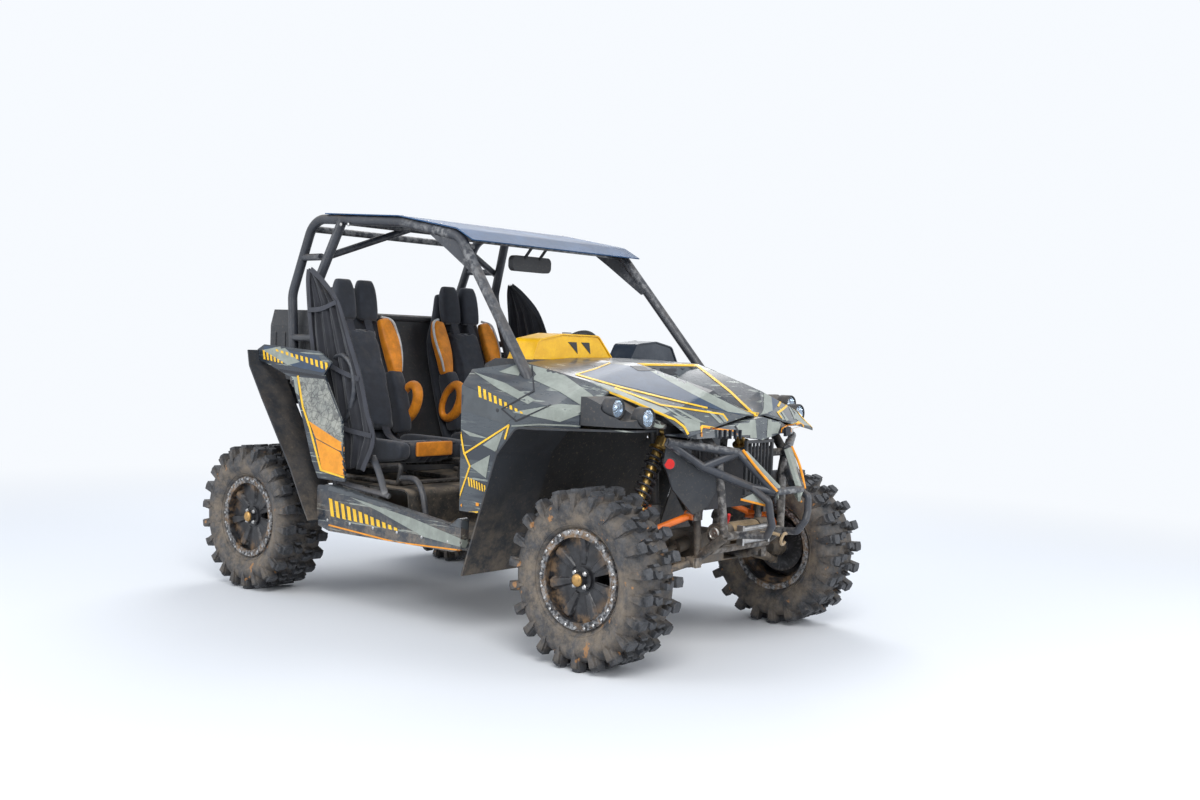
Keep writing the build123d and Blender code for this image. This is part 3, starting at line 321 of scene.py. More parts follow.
black_tube = plain("tube_black", (0.032, 0.036, 0.045), 0.42, dust=0.3, worn=(0.2, 0.2, 0.2), low_dust=0.3,
                   bump=0.15, grain=420)
muddy_frame = plain("frame_black", (0.03, 0.03, 0.032), dust=0.45, worn=(0.2, 0.19, 0.18), low_dust=0.75)
grained = plain("plastic_grained", (0.028, 0.03, 0.034), 0.6, dust=0.35, grain=700, bump=0.5)
arch_plastic = plain("arch_plastic", (0.022, 0.025, 0.03), 0.55, dust=0.3, grain=500, bump=0.5, low_dust=0.5)
roof_sheet = plain("roof_sheet", (0.03, 0.075, 0.16), dust=0.14, bump=0.08)
roof_sheet.node_tree.nodes["Principled BSDF"].inputs["Specular IOR Level"].default_value = 0.12
dusty_floor = plain("floor_dusty", (0.03, 0.03, 0.03), 0.65, dust=0.9, low_dust=0.6, bump=0.5)
engine_alloy = plain("engine_alloy", (0.27, 0.27, 0.27), 0.45, 0.8, dust=0.5, low_dust=0.7)
exhaust_steel = plain("exhaust_steel", (0.36, 0.29, 0.22), 0.4, 0.9, dust=0.35)
orange_paint = plain("arm_orange", (0.82, 0.17, 0.012), 0.38, dust=0.12, worn=(0.28, 0.26, 0.24), coat=0.3)
mud_arm = plain("arm_muddy", (0.05, 0.047, 0.045), 0.6, dust=0.9, low_dust=0.9, bump=0.6)
spring_black = plain("spring_black", (0.016, 0.016, 0.02), 0.35)
casting = plain("casting_muddy", (0.09, 0.08, 0.07), 0.6, 0.3, dust=0.8, low_dust=0.8, bump=0.7)
shaft_steel = plain("shaft_steel", (0.13, 0.12, 0.11), 0.45, 0.7, dust=0.5, low_dust=0.7)
fins = plain("radiator_fins", (0.05, 0.05, 0.055), 0.5, 0.6, dust=0.5)
soft_black = plain("grip_rubber", (0.018, 0.018, 0.018), 0.75, dust=0.15, grain=900, bump=0.8)
red_paint = plain("lever_red", (0.6, 0.02, 0.02), 0.4, dust=0.2)
gold_alloy = bright_metal("shock_gold", (0.62, 0.40, 0.13), 0.34, 0.45)
alloy_cap = bright_metal("alloy_cap", (0.62, 0.60, 0.56), 0.35, 0.55)
chrome = bright_metal("lamp_bowl", (0.85, 0.87, 0.9), 0.12, 0.05)
brass = bright_metal("hub_brass", (0.55, 0.33, 0.12), 0.42, 0.6)
bolt_steel = bright_metal("bolt_steel", (0.5, 0.5, 0.5), 0.35, 0.5)
cowl_shell = cowl_paint()
body_paint = shell_paint("body_shell", (0.02, 0.027, 0.038), (0.058, 0.07, 0.08), (0.27, 0.295, 0.26), 0.42)
black_cloth = cloth("seat_cloth", (0.022, 0.026, 0.036))
orange_cloth = cloth("seat_orange", (0.85, 0.27, 0.012), 700, 0.6, 0.1)
white_piping = cloth("seat_piping", (0.62, 0.62, 0.60), 700, 0.6)
strap_cloth = cloth("strap_cloth", (0.02, 0.022, 0.032), 1500)
net_cloth = cloth("net_cloth", (0.014, 0.015, 0.02), 1300, 0.95)
rope_cloth = cloth("rope_cloth", (0.42, 0.30, 0.17), 1500, 0.9)
yellow_film = decal_paint("film_yellow", (0.93, 0.55, 0.03))
orange_film = decal_paint("film_orange", (0.88, 0.33, 0.015))
pale_film = decal_paint("film_pale", (0.29, 0.315, 0.275))
mid_film = decal_paint("film_grey", (0.075, 0.085, 0.092))
blue_film = decal_paint("film_slate", (0.035, 0.06, 0.105))
dark_film = decal_paint("film_dark", (0.012, 0.014, 0.02), 0.4, 0.15)
red_lens = decal_paint("reflector_red", (0.75, 0.015, 0.012), 0.15, 0.15)
marble = marble_paint()
lens = glass_lens()
rubber = tyre_rubber()

# What each CAD node is painted with
painted = (
    (black_tube, "cage_sides cage_cross_tubes frame_posts front_bumper"),
    (muddy_frame, "frame_floor frame_front frame_rear seat_frames"),
    (body_paint, "hood front_fenders nose_panel rocker_panels rear_quarters"),
    (grained, "rear_bulkhead headlamp_pods cargo_box cargo_lid tail_panel grille dashboard mirror"),
    (mud_arm, "skid_plate winch front_lower_arms trailing_arms"),
    (shaft_steel, "tie_rods drive_shafts steering_column"),
    (casting, "knuckle_right knuckle_left"),
    (rubber, "tyre_front_right tyre_front_left tyre_rear_right tyre_rear_left"),
    (roof_sheet, "roof_panel"), (dusty_floor, "floor_tub"), (engine_alloy, "engine_block"),
    (exhaust_steel, "exhaust_silencer"), (black_cloth, "seats"), (arch_plastic, "wheel_arches"),
    (red_lens, "lamps"), (fins, "radiator"), (orange_paint, "front_upper_arms"),
    (gold_alloy, "shock_absorbers"), (spring_black, "shock_springs"), (soft_black, "steering_wheel"),
    (cowl_shell, "dash_cowls"), (net_cloth, "side_nets"),
)
by_node = {name: material for material, names in painted for name in names.split()}
for end, y, _ in AXLES:
    for side in SIDES:
        by_node[f"rim_{end}_{side}"] = rim_paint(f"rim_{end}_{side}", (y, AXLE_Z))
for name, material in by_node.items():
    mesh = nodes[name].data
    mesh.materials.clear()
    mesh.materials.append(material)
    for face in mesh.polygons:
        face.material_index = 0


# Mesh helpers
def add_mesh(name, points, faces, material, smooth=False, body="chassis"):
    mesh = bpy.data.meshes.new(name)
    mesh.from_pydata([tuple(p) for p in points], [], faces)
    mesh.validate()
    mesh.materials.append(material)
    made = link(name, mesh)
    if smooth:
        for face in mesh.polygons:
            face.use_smooth = True
    if body:
        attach(made, body)
    return made


def bevelled(made, width=0.002, segments=2):
    step = made.modifiers.new("bevel", "BEVEL")
    step.width = width
    step.segments = segments
    step.limit_method = "ANGLE"
    step.harden_normals = False
    return made


def circle(centre, across, lift, radius, sides, squash=1.0):
    turns = [2 * pi * k / sides for k in range(sides)]
    return [centre + (across * cos(a) + lift * (squash * sin(a))) * radius for a in turns]


def mirror(points, faces):
    """The same points and faces with their mirror images across the middle plane."""
    start = len(points)
    return (points + [vec(-p.x, p.y, p.z) for p in points],
            faces + [tuple(start + i for i in reversed(f)) for f in faces])


BOX_FACES = ((0, 1, 3, 2), (4, 6, 7, 5), (0, 4, 5, 1), (2, 3, 7, 6), (0, 2, 6, 4), (1, 5, 7, 3))
FLAT_RADIUS = 1e-5  # a turned piece's radius where it closes on its axis
LOFT_CAPS = ((0.55, 0.8, 0.35), (0.4, 0.93, 0.75))  # out by thickness, shares of width and thickness


class Solid:
    """Gathers many closed pieces into one mesh."""

    def __init__(self):
        self.points, self.faces = [], []

    def add(self, points, faces):
        start = len(self.points)
        self.points += [Vector(p) for p in points]
        self.faces += [tuple(start + i for i in f) for f in faces]

    def skin(self, rings):
        """A closed piece over rings with as many points each."""
        n, last = len(rings[0]), len(rings) - 1
        faces = [(i * n + k, i * n + (k + 1) % n, (i + 1) * n + (k + 1) % n, (i + 1) * n + k)
                 for i in range(last) for k in range(n)]
        faces += [tuple(reversed(range(n))), tuple(last * n + k for k in range(n))]
        self.add([p for ring in rings for p in ring], faces)
        return self

    def prism(self, low, high):
        return self.skin([low, high])

    def slab(self, outline, shift):
        """A flat piece from an outline to the same outline shifted."""
        return self.prism(outline, [p + shift for p in outline])

    def box(self, centre, size, axes=(vec(1, 0, 0), vec(0, 1, 0), vec(0, 0, 1))):
        across, along, up = (axis * (reach / 2) for axis, reach in zip(axes, size))
        corners = [Vector(centre) + across * i + along * j + up * k
                   for i in (-1, 1) for j in (-1, 1) for k in (-1, 1)]
        self.add(corners, BOX_FACES)

    def tube(self, line, radius, sides=16, squash=1.0):
        """A round bar along a line of points, closed at both ends."""
        line = [Vector(p) for p in line]
        across = None
        rings = []
        for i, p in enumerate(line):
            way = (line[min(i + 1, len(line) - 1)] - line[max(i - 1, 0)]).normalized()
            across = across or way.orthogonal().normalized()
            across = (across - way * across.dot(way)).normalized()
            rings.append(circle(p, across, way.cross(across), radius, sides, squash))
        return self.skin(rings)

    def lathe(self, profile, origin, way, sides=32):
        """A turned piece: (radius, height) pairs about an axis; ends at zero radius are closed."""
        origin, way = Vector(origin), Vector(way).normalized()
        across = way.orthogonal().normalized()
        lift = way.cross(across)
        return self.skin([circle(origin + way * h, across, lift, max(r, FLAT_RADIUS), sides)
                          for r, h in profile])

    def loft(self, path, across=(1, 0, 0), power=0.55, sides=28, ends=True):
        """A closed form with rounded sections: path rows are (centre, half width, half thickness)."""
        rows = [(Vector(c), w, t) for c, w, t in path]
        if ends:
            caps = []
            for (c, w, t), (inner, _, _) in ((rows[0], rows[1]), (rows[-1], rows[-2])):
                out = (c - inner).normalized()
                caps.append([(c + out * t * far, w * wide, t * thick) for far, wide, thick in LOFT_CAPS])
            rows = caps[0] + rows + caps[1][::-1]
        across = Vector(across)
        rings = []
        for i, (c, w, t) in enumerate(rows):
            way = (rows[min(i + 1, len(rows) - 1)][0] - rows[max(i - 1, 0)][0]).normalized()
            side = (across - way * across.dot(way)).normalized()
            lift = way.cross(side)
            ring = []
            for a in (2 * pi * k / sides for k in range(sides)):
                u = abs(cos(a)) ** power * (1 if cos(a) >= 0 else -1)
                v = abs(sin(a)) ** power * (1 if sin(a) >= 0 else -1)
                ring.append(c + side * u * w + lift * v * t)
            rings.append(ring)
        return self.skin(rings)

    def make(self, name, material, slot=None, smooth=False, body="chassis", mirrored=False):
        points, faces = mirror(self.points, self.faces) if mirrored else (self.points, self.faces)
        made = add_mesh(name, points, faces, material, smooth, body)
        tidy = bmesh.new()
        tidy.from_mesh(made.data)
        bmesh.ops.recalc_face_normals(tidy, faces=tidy.faces)
        tidy.to_mesh(made.data)
        tidy.free()
        if smooth:
            step = made.modifiers.new("split", "EDGE_SPLIT")
            step.split_angle = radians(40)
        return made


def curve_points(points, per_run=8):
    """A smooth line through the points (Catmull-Rom)."""
    p = [Vector(q) for q in points]
    p = [p[0] * 2 - p[1]] + p + [p[-1] * 2 - p[-2]]
    line = []
    for a, b, c, d in zip(p, p[1:], p[2:], p[3:]):
        for t in (k / per_run for k in range(per_run)):
            line.append(0.5 * (2 * b + (c - a) * t + (2 * a - 5 * b + 4 * c - d) * t * t
                               + (3 * b - a - 3 * c + d) * t ** 3))
    line.append(p[-2])
    return line


# Tyres: a rounded carcass with rows of angled lugs, shaped about the X axis with the outer side at +X
LUGS = 22
TREAD = 0.318
LUG_TOP = 0.3493
LUG_RADIUS = 0.335
CARCASS_SIDES = 88
# Lug outlines in mm: across from the tread's middle, along the tread
MIDDLE_LUG = ((5, -27), (38, -31), (55, -14), (58, 6), (42, 7), (34, -6), (8, 2))
SMALL_LUG = ((12, 16), (52, 18), (60, 30), (20, 30))
FLANK_BLOCKS = ((-24, 12, 0.287, 0.338), (-16, 4, 0.268, 0.287))  # along from, to in mm, radius from, to


def wrap(x, along, radius, angle):
    turn = angle + along / LUG_RADIUS
    return vec(x, radius * sin(turn), -radius * cos(turn))


def build_tyre(width):
    """The tyre as a Solid, and how many of its faces are the carcass."""
    half = width / 2
    solid = Solid()
    half_profile = [
        (0.0872, 0.1795), (0.0872, 0.199), (0.098, 0.207), (0.1105, 0.222), (half - 0.012, 0.243),
        (half - 0.006, 0.262), (half - 0.006, 0.276), (half - 0.010, 0.290), (half - 0.020, 0.305),
        (half - 0.040, 0.3145), (0.05, TREAD),
    ]
    profile = [(-x, r) for x, r in half_profile] + [(0, TREAD + 0.001)] + half_profile[::-1]
    n = len(profile)
    points = [wrap(x, 0, r, 2 * pi * k / CARCASS_SIDES) for k in range(CARCASS_SIDES) for x, r in profile]
    faces = []
    for k in range(CARCASS_SIDES):
        here, there = k * n, (k + 1) % CARCASS_SIDES * n
        faces += [(here + i, there + i, there + (i + 1) % n, here + (i + 1) % n) for i in range(n)]
    solid.add(points, faces)

    def lug(row, angle, outline, low=0.306, high=LUG_TOP, narrow=0.86):
        cx = sum(x for x, a in outline) / len(outline)
        ca = sum(a for x, a in outline) / len(outline)
        top = [(cx + (x - cx) * narrow, ca + (a - ca) * narrow) for x, a in outline]
        solid.prism([wrap(row * x / 1000, a / 1000, low, angle) for x, a in outline],
                    [wrap(row * x / 1000, a / 1000, high, angle) for x, a in top])

    edge = half * 1000
    shoulder_lug = ((66, -25), (edge - 14, -27), (edge - 8, -4), (edge - 12, 16), (74, 22), (63, 4))
    for row in (-1, 1):
        for index in range(LUGS):
            angle = radians(360 / LUGS * (index + row / 4))
            lug(row, angle, MIDDLE_LUG)
            lug(row, angle, SMALL_LUG, high=LUG_TOP - 0.004)
            lug(row, angle, shoulder_lug, low=0.296)
            root, out = row * (half - 0.016), row * (half - 0.0015)
            for a0, a1, r0, r1 in FLANK_BLOCKS:
                flat = [(a0, r1), (a1, r1), (a1 - 4, r0), (a0 + 5, r0)]
                solid.prism([wrap(root, a / 1000, r, angle) for a, r in flat],
                            [wrap(out if r > 0.28 else out - row * 0.003, a / 1000 * 0.85, r - 0.004, angle)
                             for a, r in flat])
        for x, r, bead in ((0.1045, 0.214, 0.0016), (half - 0.0125, 0.246, 0.0014)):
            solid.tube([wrap(row * x, 0, r, 2 * pi * k / 64) for k in range(65)], bead * 1.6, 6)
    return solid, len(faces)


# Wheel details about the X axis: radius and height of turned pieces, radius and half width of a spoke
RING_BOLT = ((0.0065, 0), (0.0065, 0.005), (0.005, 0.0065), (0, 0.0068))
LUG_NUT = ((0.011, 0), (0.011, 0.012), (0.007, 0.017), (0, 0.0175))
HEADS = ((24, 0, 0.184, 0.0985, RING_BOLT), (4, 0.5, 0.036, 0.0735, LUG_NUT))  # count, first, radius, out
HUB_CAP = ((0.0245, 0), (0.0245, 0.006), (0.021, 0.010), (0.012, 0.0125), (0, 0.013))
SPOKE = ((0.055, -0.014), (0.055, 0.014), (0.152, 0.027), (0.165, 0.022), (0.165, -0.022), (0.152, -0.027))
SPOKES = 7


def dress_wheel(name, sign, y, width, shape, carcass_faces):
    """The tyre, beadlock bolts, lug nuts, hub cap and spoke blocks of the wheel of that name."""
    body = f"wheel_{name}"
    centre = vec(sign * (OUTER_X - width / 2), y, AXLE_Z)
    tyre = shape.make(f"rubber_{name}", rubber, body=None)
    tyre.matrix_world = Matrix.Translation(centre) @ Matrix.Rotation(0 if sign > 0 else pi, 4, "Z")
    for face in tyre.data.polygons[:carcass_faces]:
        face.use_smooth = True
    bevelled(tyre, 0.0022, 2)
    tyre.modifiers["bevel"].angle_limit = radians(38)
    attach(tyre, body)
    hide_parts(f"tyre_{name}")

    way = vec(sign, 0, 0)
    bolts, cap, blocks = Solid(), Solid(), Solid()
    for count, first, radius, out, profile in HEADS:
        for a in (2 * pi * (k + first) / count for k in range(count)):
            bolts.lathe(profile, centre + vec(sign * out, radius * sin(a), radius * cos(a)), way, 6)
    cap.lathe(HUB_CAP, centre + way * 0.0955, way, 28)
    for k in range(SPOKES):
        a = radians(-90 + 360 / SPOKES * (k + 0.5))
        out, across = vec(0, cos(a), sin(a)), vec(0, -sin(a), cos(a))
        blocks.prism([centre + out * r + across * t + way * 0.061 for r, t in SPOKE],
                     [centre + out * (0.11 + (r - 0.11) * 0.9) + across * (t * 0.6)
                      + way * (0.068 + 0.012 * (r > 0.1)) for r, t in SPOKE])
    bolts.make(f"bolts_{name}", bolt_steel, "rim", body=body)
    cap.make(f"hubcap_{name}", brass, "rim", True, body)
    bevelled(blocks.make(f"spokes_{name}", by_node[f"rim_{name}"], "rim", body=body), 0.0025)


for end, y, width in AXLES:
    shape, carcass_faces = build_tyre(width)
    for side, sign in SIDES.items():
        dress_wheel(f"{end}_{side}", sign, y, width, shape, carcass_faces)

# Floor, light and world
BACKDROP = (0.93, 0.96, 1.0, 1)
SKY_LIGHT = (0.50, 0.56, 0.66, 1)
FLOOR_REACH = 60


def seen_directly(tree):
    """Whether a ray comes from the camera, or by way of a mirror or glass."""
    path = tree.nodes.new("ShaderNodeLightPath")
    seen = path.outputs["Is Camera Ray"]
    for kind in ("Is Glossy Ray", "Is Transmission Ray"):
        either = tree.nodes.new("ShaderNodeMath")
        either.operation = "MAXIMUM"
        tree.links.new(seen, either.inputs[0])
        tree.links.new(path.outputs[kind], either.inputs[1])
        seen = either.outputs[0]
    return seen


# The floor fades to the backdrop's colour away from the vehicle
pale = Shader("floor_pale")
pale.finish((0.78, 0.79, 0.80), 0.85)
glow = pale.made_of("ShaderNodeEmission", 0, {"Color": BACKDROP})
fade = pale.step(pale.length(pale.axis("X"), pale.axis("Y")), 2.6, 7.0)
blend = {0: pale.times(seen_directly(pale.tree), fade), 1: pale.bsdf.outputs[0], 2: glow}
pale.put(pale.tree.nodes["Material Output"].inputs["Surface"], pale.made_of("ShaderNodeMixShader", 0, blend))
corners = [(FLOOR_REACH * i, FLOOR_REACH * j, 0) for i, j in ((-1, -1), (1, -1), (1, 1), (-1, 1))]
floor = add_mesh("floor", corners, [(0, 1, 2, 3)], pale.material, body=None)
for name, place, aim, size, power in (
    ("key", (-4.5, -5.0, 6.0), (0, -0.3, 0.8), 4.0, 420),
    ("fill", (-6.5, 2.5, 3.5), (0, 0.2, 0.8), 4.0, 170),
    ("rim", (4.5, 3.5, 5.5), (0, 0, 0.9), 4.0, 220),
    ("nose", (2.5, -6.0, 2.5), (0, -1.0, 0.7), 3.0, 110),
):
    light = bpy.data.lights.new(name, "AREA")
    light.size = size
    light.energy = power
    holder = link(name, light)
    holder.location = place
    holder.rotation_mode = "QUATERNION"
    holder.rotation_quaternion = (Vector(aim) - Vector(place)).to_track_quat("-Z", "Y")
world = bpy.data.worlds.new("world")
scene.world = world
world.use_nodes = True
sky = world.node_tree
tint = sky.nodes.new("ShaderNodeMix")
tint.data_type = "RGBA"
tint.inputs[6].default_value = SKY_LIGHT
tint.inputs[7].default_value = BACKDROP
sky.links.new(seen_directly(sky), tint.inputs[0])
sky.links.new(tint.outputs[2], sky.nodes["Background"].inputs["Color"])
scene.view_settings.view_transform = "Standard"


# Soft pieces
def soften(made, levels=1):
    split = made.modifiers.get("split")
    if split:
        made.modifiers.remove(split)
    step = made.modifiers.new("soft", "SUBSURF")
    step.levels = step.render_levels = levels
    return made


def freeze(made):
    """Turns the modifiers' outcome into the mesh."""
    graph = bpy.context.evaluated_depsgraph_get()
    mesh = bpy.data.meshes.new_from_object(made.evaluated_get(graph))
    made.modifiers.clear()
    made.data = mesh
    return mesh


def puff(made, voxel=0.006, pressure=4.0, cap=0.012, frames=20):
    """Swells a cushion by cloth simulation, no point further than cap from where it began."""
    bpy.context.view_layer.update()
    step = made.modifiers.new("remesh", "REMESH")
    step.mode = "VOXEL"
    step.voxel_size = voxel
    start = [v.co.copy() for v in freeze(made).vertices]
    step = made.modifiers.new("cloth", "CLOTH")
    step.settings.use_pressure = True
    step.settings.uniform_pressure_force = pressure
    step.settings.effector_weights.gravity = 0
    step.settings.quality = 4
    for f in range(1, frames + 1):
        scene.frame_set(f)
    mesh = freeze(made)
    scene.frame_set(1)
    for v, p in zip(mesh.vertices, start):
        move = v.co - p
        if move.length > cap:
            v.co = p + move * (cap / move.length)
    for face in made.data.polygons:
        face.use_smooth = True
    return made


def at_x(x, table):
    """Loft rows at one x from a table of (y, z, half width, half thickness)."""
    return [((x, y, z), w, t) for y, z, w, t in table]


# Seats: tables of (y, z, half width, half thickness), and lines of (y, z)
SEAT_X = 0.352
SEAT_BASE = ((0.232, 0.722, 0.140, 0.040), (0.33, 0.712, 0.146, 0.040), (0.46, 0.698, 0.146, 0.038),
             (0.585, 0.688, 0.140, 0.036))
SEAT_BACK = ((0.655, 0.80, 0.125, 0.034), (0.675, 0.93, 0.125, 0.036), (0.708, 1.06, 0.122, 0.036),
             (0.758, 1.19, 0.115, 0.034), (0.792, 1.27, 0.105, 0.030))
SEAT_SHELL = ((0.655, 0.668, 0.195, 0.022), (0.712, 0.80, 0.203, 0.026), (0.752, 0.95, 0.207, 0.028),
              (0.797, 1.10, 0.210, 0.028), (0.833, 1.25, 0.207, 0.028), (0.845, 1.31, 0.165, 0.028),
              (0.853, 1.40, 0.138, 0.026), (0.856, 1.47, 0.132, 0.024))
BOLSTERS = (  # across from the seat's middle, rows: thigh, back, head
    (0.178, ((0.225, 0.728, 0.034, 0.044), (0.34, 0.722, 0.035, 0.052), (0.47, 0.716, 0.034, 0.058),
             (0.60, 0.715, 0.030, 0.060))),
    (0.166, ((0.628, 0.80, 0.040, 0.05), (0.655, 0.93, 0.042, 0.052), (0.70, 1.05, 0.042, 0.048))),
    (0.068, ((0.795, 1.34, 0.058, 0.028), (0.81, 1.41, 0.060, 0.034), (0.822, 1.48, 0.058, 0.030),
             (0.826, 1.512, 0.045, 0.022))),
)
WING_LINE = ((0.702, 1.075), (0.715, 1.14), (0.742, 1.21), (0.768, 1.27), (0.79, 1.325))
WING_WIDTHS = (0.030, 0.042, 0.052, 0.050, 0.034)
STRAP_LINE = ((0.80, 1.37), (0.768, 1.30), (0.722, 1.19), (0.672, 1.06), (0.638, 0.93), (0.618, 0.80),
              (0.56, 0.752), (0.46, 0.748))
SEAM_LINE = ((0.215, 0.758), (0.33, 0.758), (0.46, 0.746), (0.60, 0.735))
BUCKLE_AXES = (vec(1, 0, 0), vec(0, 0.97, -0.24), vec(0, 0.24, 0.97))


def build_seat(side, cx):
    """A bucket seat with its cushions, side rings, piping and harness."""
    pad = puff(Solid().loft(at_x(cx, SEAT_BASE)).make(f"seat_base_{side}", black_cloth, "seat"))
    pad = puff(Solid().loft(at_x(cx, SEAT_BACK)).make(f"seat_back_{side}", black_cloth, "seat"))
    shell = soften(Solid().loft(at_x(cx, SEAT_SHELL)).make(f"seat_shell_{side}", black_cloth, "seat", True))
    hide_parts("seats")
    bolsters, wings, pipes, rings = Solid(), Solid(), Solid(), Solid()
    straps, buckles, seams = Solid(), Solid(), Solid()
    for wing in (-1, 1):
        for out, table in BOLSTERS:
            bolsters.loft(at_x(cx + wing * out, table))
        x = cx + wing * 0.178
        wings.loft([((x - wing * (0.012 if i == 4 else 0), y, z), w, 0.034 - 0.003 * i)
                    for i, ((y, z), w) in enumerate(zip(WING_LINE, WING_WIDTHS))])
        edge = [(x + wing * (w - 0.002), y - 0.016, z + 0.004) for (y, z), w in zip(WING_LINE, WING_WIDTHS)]
        pipes.tube(curve_points(edge + [(x - wing * 0.02, 0.797, 1.347)], 6), 0.0065, 10)
        turns = [2 * pi * k / 28 for k in range(29)]
        rings.tube([(cx + wing * 0.204, 0.625 + 0.062 * cos(a) - 0.03 * sin(a), 0.925 + 0.088 * sin(a))
                    for a in turns], 0.026, 14, 0.75)
        strap_x = cx + wing * 0.058
        line = curve_points([(strap_x, y, z) for y, z in STRAP_LINE], 5)
        straps.loft([(p, 0.024, 0.0022) for p in line], power=0.4, sides=12, ends=False)
        buckles.box((strap_x, 0.655, 1.00), (0.062, 0.012, 0.045), BUCKLE_AXES)
        seams.tube(curve_points([(cx + wing * 0.144, y, z) for y, z in SEAM_LINE], 6), 0.0035, 8)
    soften(bolsters.make(f"seat_bolsters_{side}", black_cloth, "seat", True))
    soften(wings.make(f"seat_wings_{side}", orange_cloth, "seat", True))
    rings.make(f"seat_rings_{side}", orange_cloth, "seat", True)
    pipes.make(f"seat_piping_{side}", white_piping, "seat", True)
    straps.make(f"harness_{side}", strap_cloth, "seat", True)
    bevelled(buckles.make(f"buckles_{side}", grained, "seat"), 0.004)
    strip = [((cx + x, 0.204, 0.735), 0.034, 0.010) for x in (-0.105, -0.05, 0.0, 0.05, 0.105)]
    soften(Solid().loft(strip, across=(0, 0, 1)).make(f"seat_front_{side}", orange_cloth, "seat", True))
    seams.make(f"seat_seams_{side}", strap_cloth, "seat", True)


# Side nets, gathered cloth on each side: height, front edge, rear edge
NET_ROWS = ((1.552, 0.735, 0.760), (1.50, 0.648, 0.764), (1.40, 0.535, 0.752), (1.25, 0.452, 0.728),
            (1.05, 0.352, 0.682), (0.90, 0.298, 0.640), (0.78, 0.252, 0.596), (0.64, 0.318, 0.512))
NET_STRAPS = ((1.40, 0.54, 1.36, 0.745), (1.05, 0.36, 1.16, 0.70), (0.80, 0.262, 0.86, 0.622))  # z, y twice
NET_X = 0.6735
NET_MESH = (60, 44)


def build_net(side, sign):
    """A hanging net with its folds, edge webbing and three straps."""
    rows, cols = NET_MESH
    points = []
    for i in range(rows + 1):
        t = i / rows * (len(NET_ROWS) - 1)
        k = min(int(t), len(NET_ROWS) - 2)
        z, y0, y1 = (a + (b - a) * (t - k) for a, b in zip(NET_ROWS[k], NET_ROWS[k + 1]))
        for v in (j / cols for j in range(cols + 1)):
            fold = 0.009 * sin(v * 26 + z * 5 + 0.8 * sin(z * 9)) + 0.004 * sin(v * 61 + z * 13)
            points.append((sign * (NET_X + fold * (0.35 + 0.65 * min(1, i / 20))), y0 + (y1 - y0) * v,
                           z + 0.006 * sin(v * 11 + z * 7)))
    wide = cols + 1
    faces = [(i * wide + j, i * wide + j + 1, (i + 1) * wide + j + 1, (i + 1) * wide + j)
             for i in range(rows) for j in range(cols)]
    net = add_mesh(f"net_{side}", points, faces, net_cloth, True)
    net.modifiers.new("cloth_wall", "SOLIDIFY").thickness = 0.0015
    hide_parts("side_nets")
    webbing = Solid()
    for edge, inset in ((1, 0.004), (2, -0.004)):
        line = curve_points([(sign * 0.679, row[edge] + inset, row[0]) for row in NET_ROWS], 6)
        webbing.loft([(p, 0.014, 0.002) for p in line], (0, 1, 0), 0.4, 10, False)
    for z0, y0, z1, y1 in NET_STRAPS:
        line = curve_points([(sign * 0.683, y0, z0), (sign * 0.685, (y0 + y1) / 2, (z0 + z1) / 2 - 0.012),
                             (sign * 0.683, y1, z1)], 6)
        webbing.loft([(p, 0.011, 0.0018) for p in line], (0, 0, 1), 0.4, 10, False)
    webbing.make(f"net_webbing_{side}", strap_cloth, "net", True)


for side, sign in SIDES.items():
    build_seat(side, sign * SEAT_X)
    build_net(side, sign)

# Springs and collars on the shock absorbers of one side: foot, head, share of the run the spring fills
SHOCKS = ((vec(0.448, -WHEEL_Y, 0.545), vec(0.262, -WHEEL_Y, 0.905), 0.16, 0.80),
          (vec(0.480, 0.905, 0.436), vec(0.410, 1.015, 0.958), 0.18, 0.80))
COIL_TURNS, COIL_STEPS, COIL_RADIUS, COIL_END = 8, 24, 0.033, 0.006
coils, collars = Solid(), Solid()
for foot, head, low, high in SHOCKS:
    way = (head - foot).normalized()
    across = way.orthogonal().normalized()
    lift = way.cross(across)
    start = foot + (head - foot) * low + way * COIL_END
    length = (head - foot).length * (high - low) - 2 * COIL_END
    count = COIL_TURNS * COIL_STEPS
    coils.tube([start + way * length * k / count + (across * cos(2 * pi * k / COIL_STEPS)
                                                    + lift * sin(2 * pi * k / COIL_STEPS)) * COIL_RADIUS
                for k in range(count + 1)], 0.0056, 10)
    for t in (0.60, 0.64):
        collars.lathe(((0.0235, 0), (0.0245, 0.002), (0.0245, 0.008), (0.0235, 0.010)),
                      foot + (head - foot) * t, way, 24)
springs = coils.make("coil_springs", spring_black, "spring", True, mirrored=True)
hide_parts("shock_springs")
collars.make("shock_rings", spring_black, "shock", True, mirrored=True)

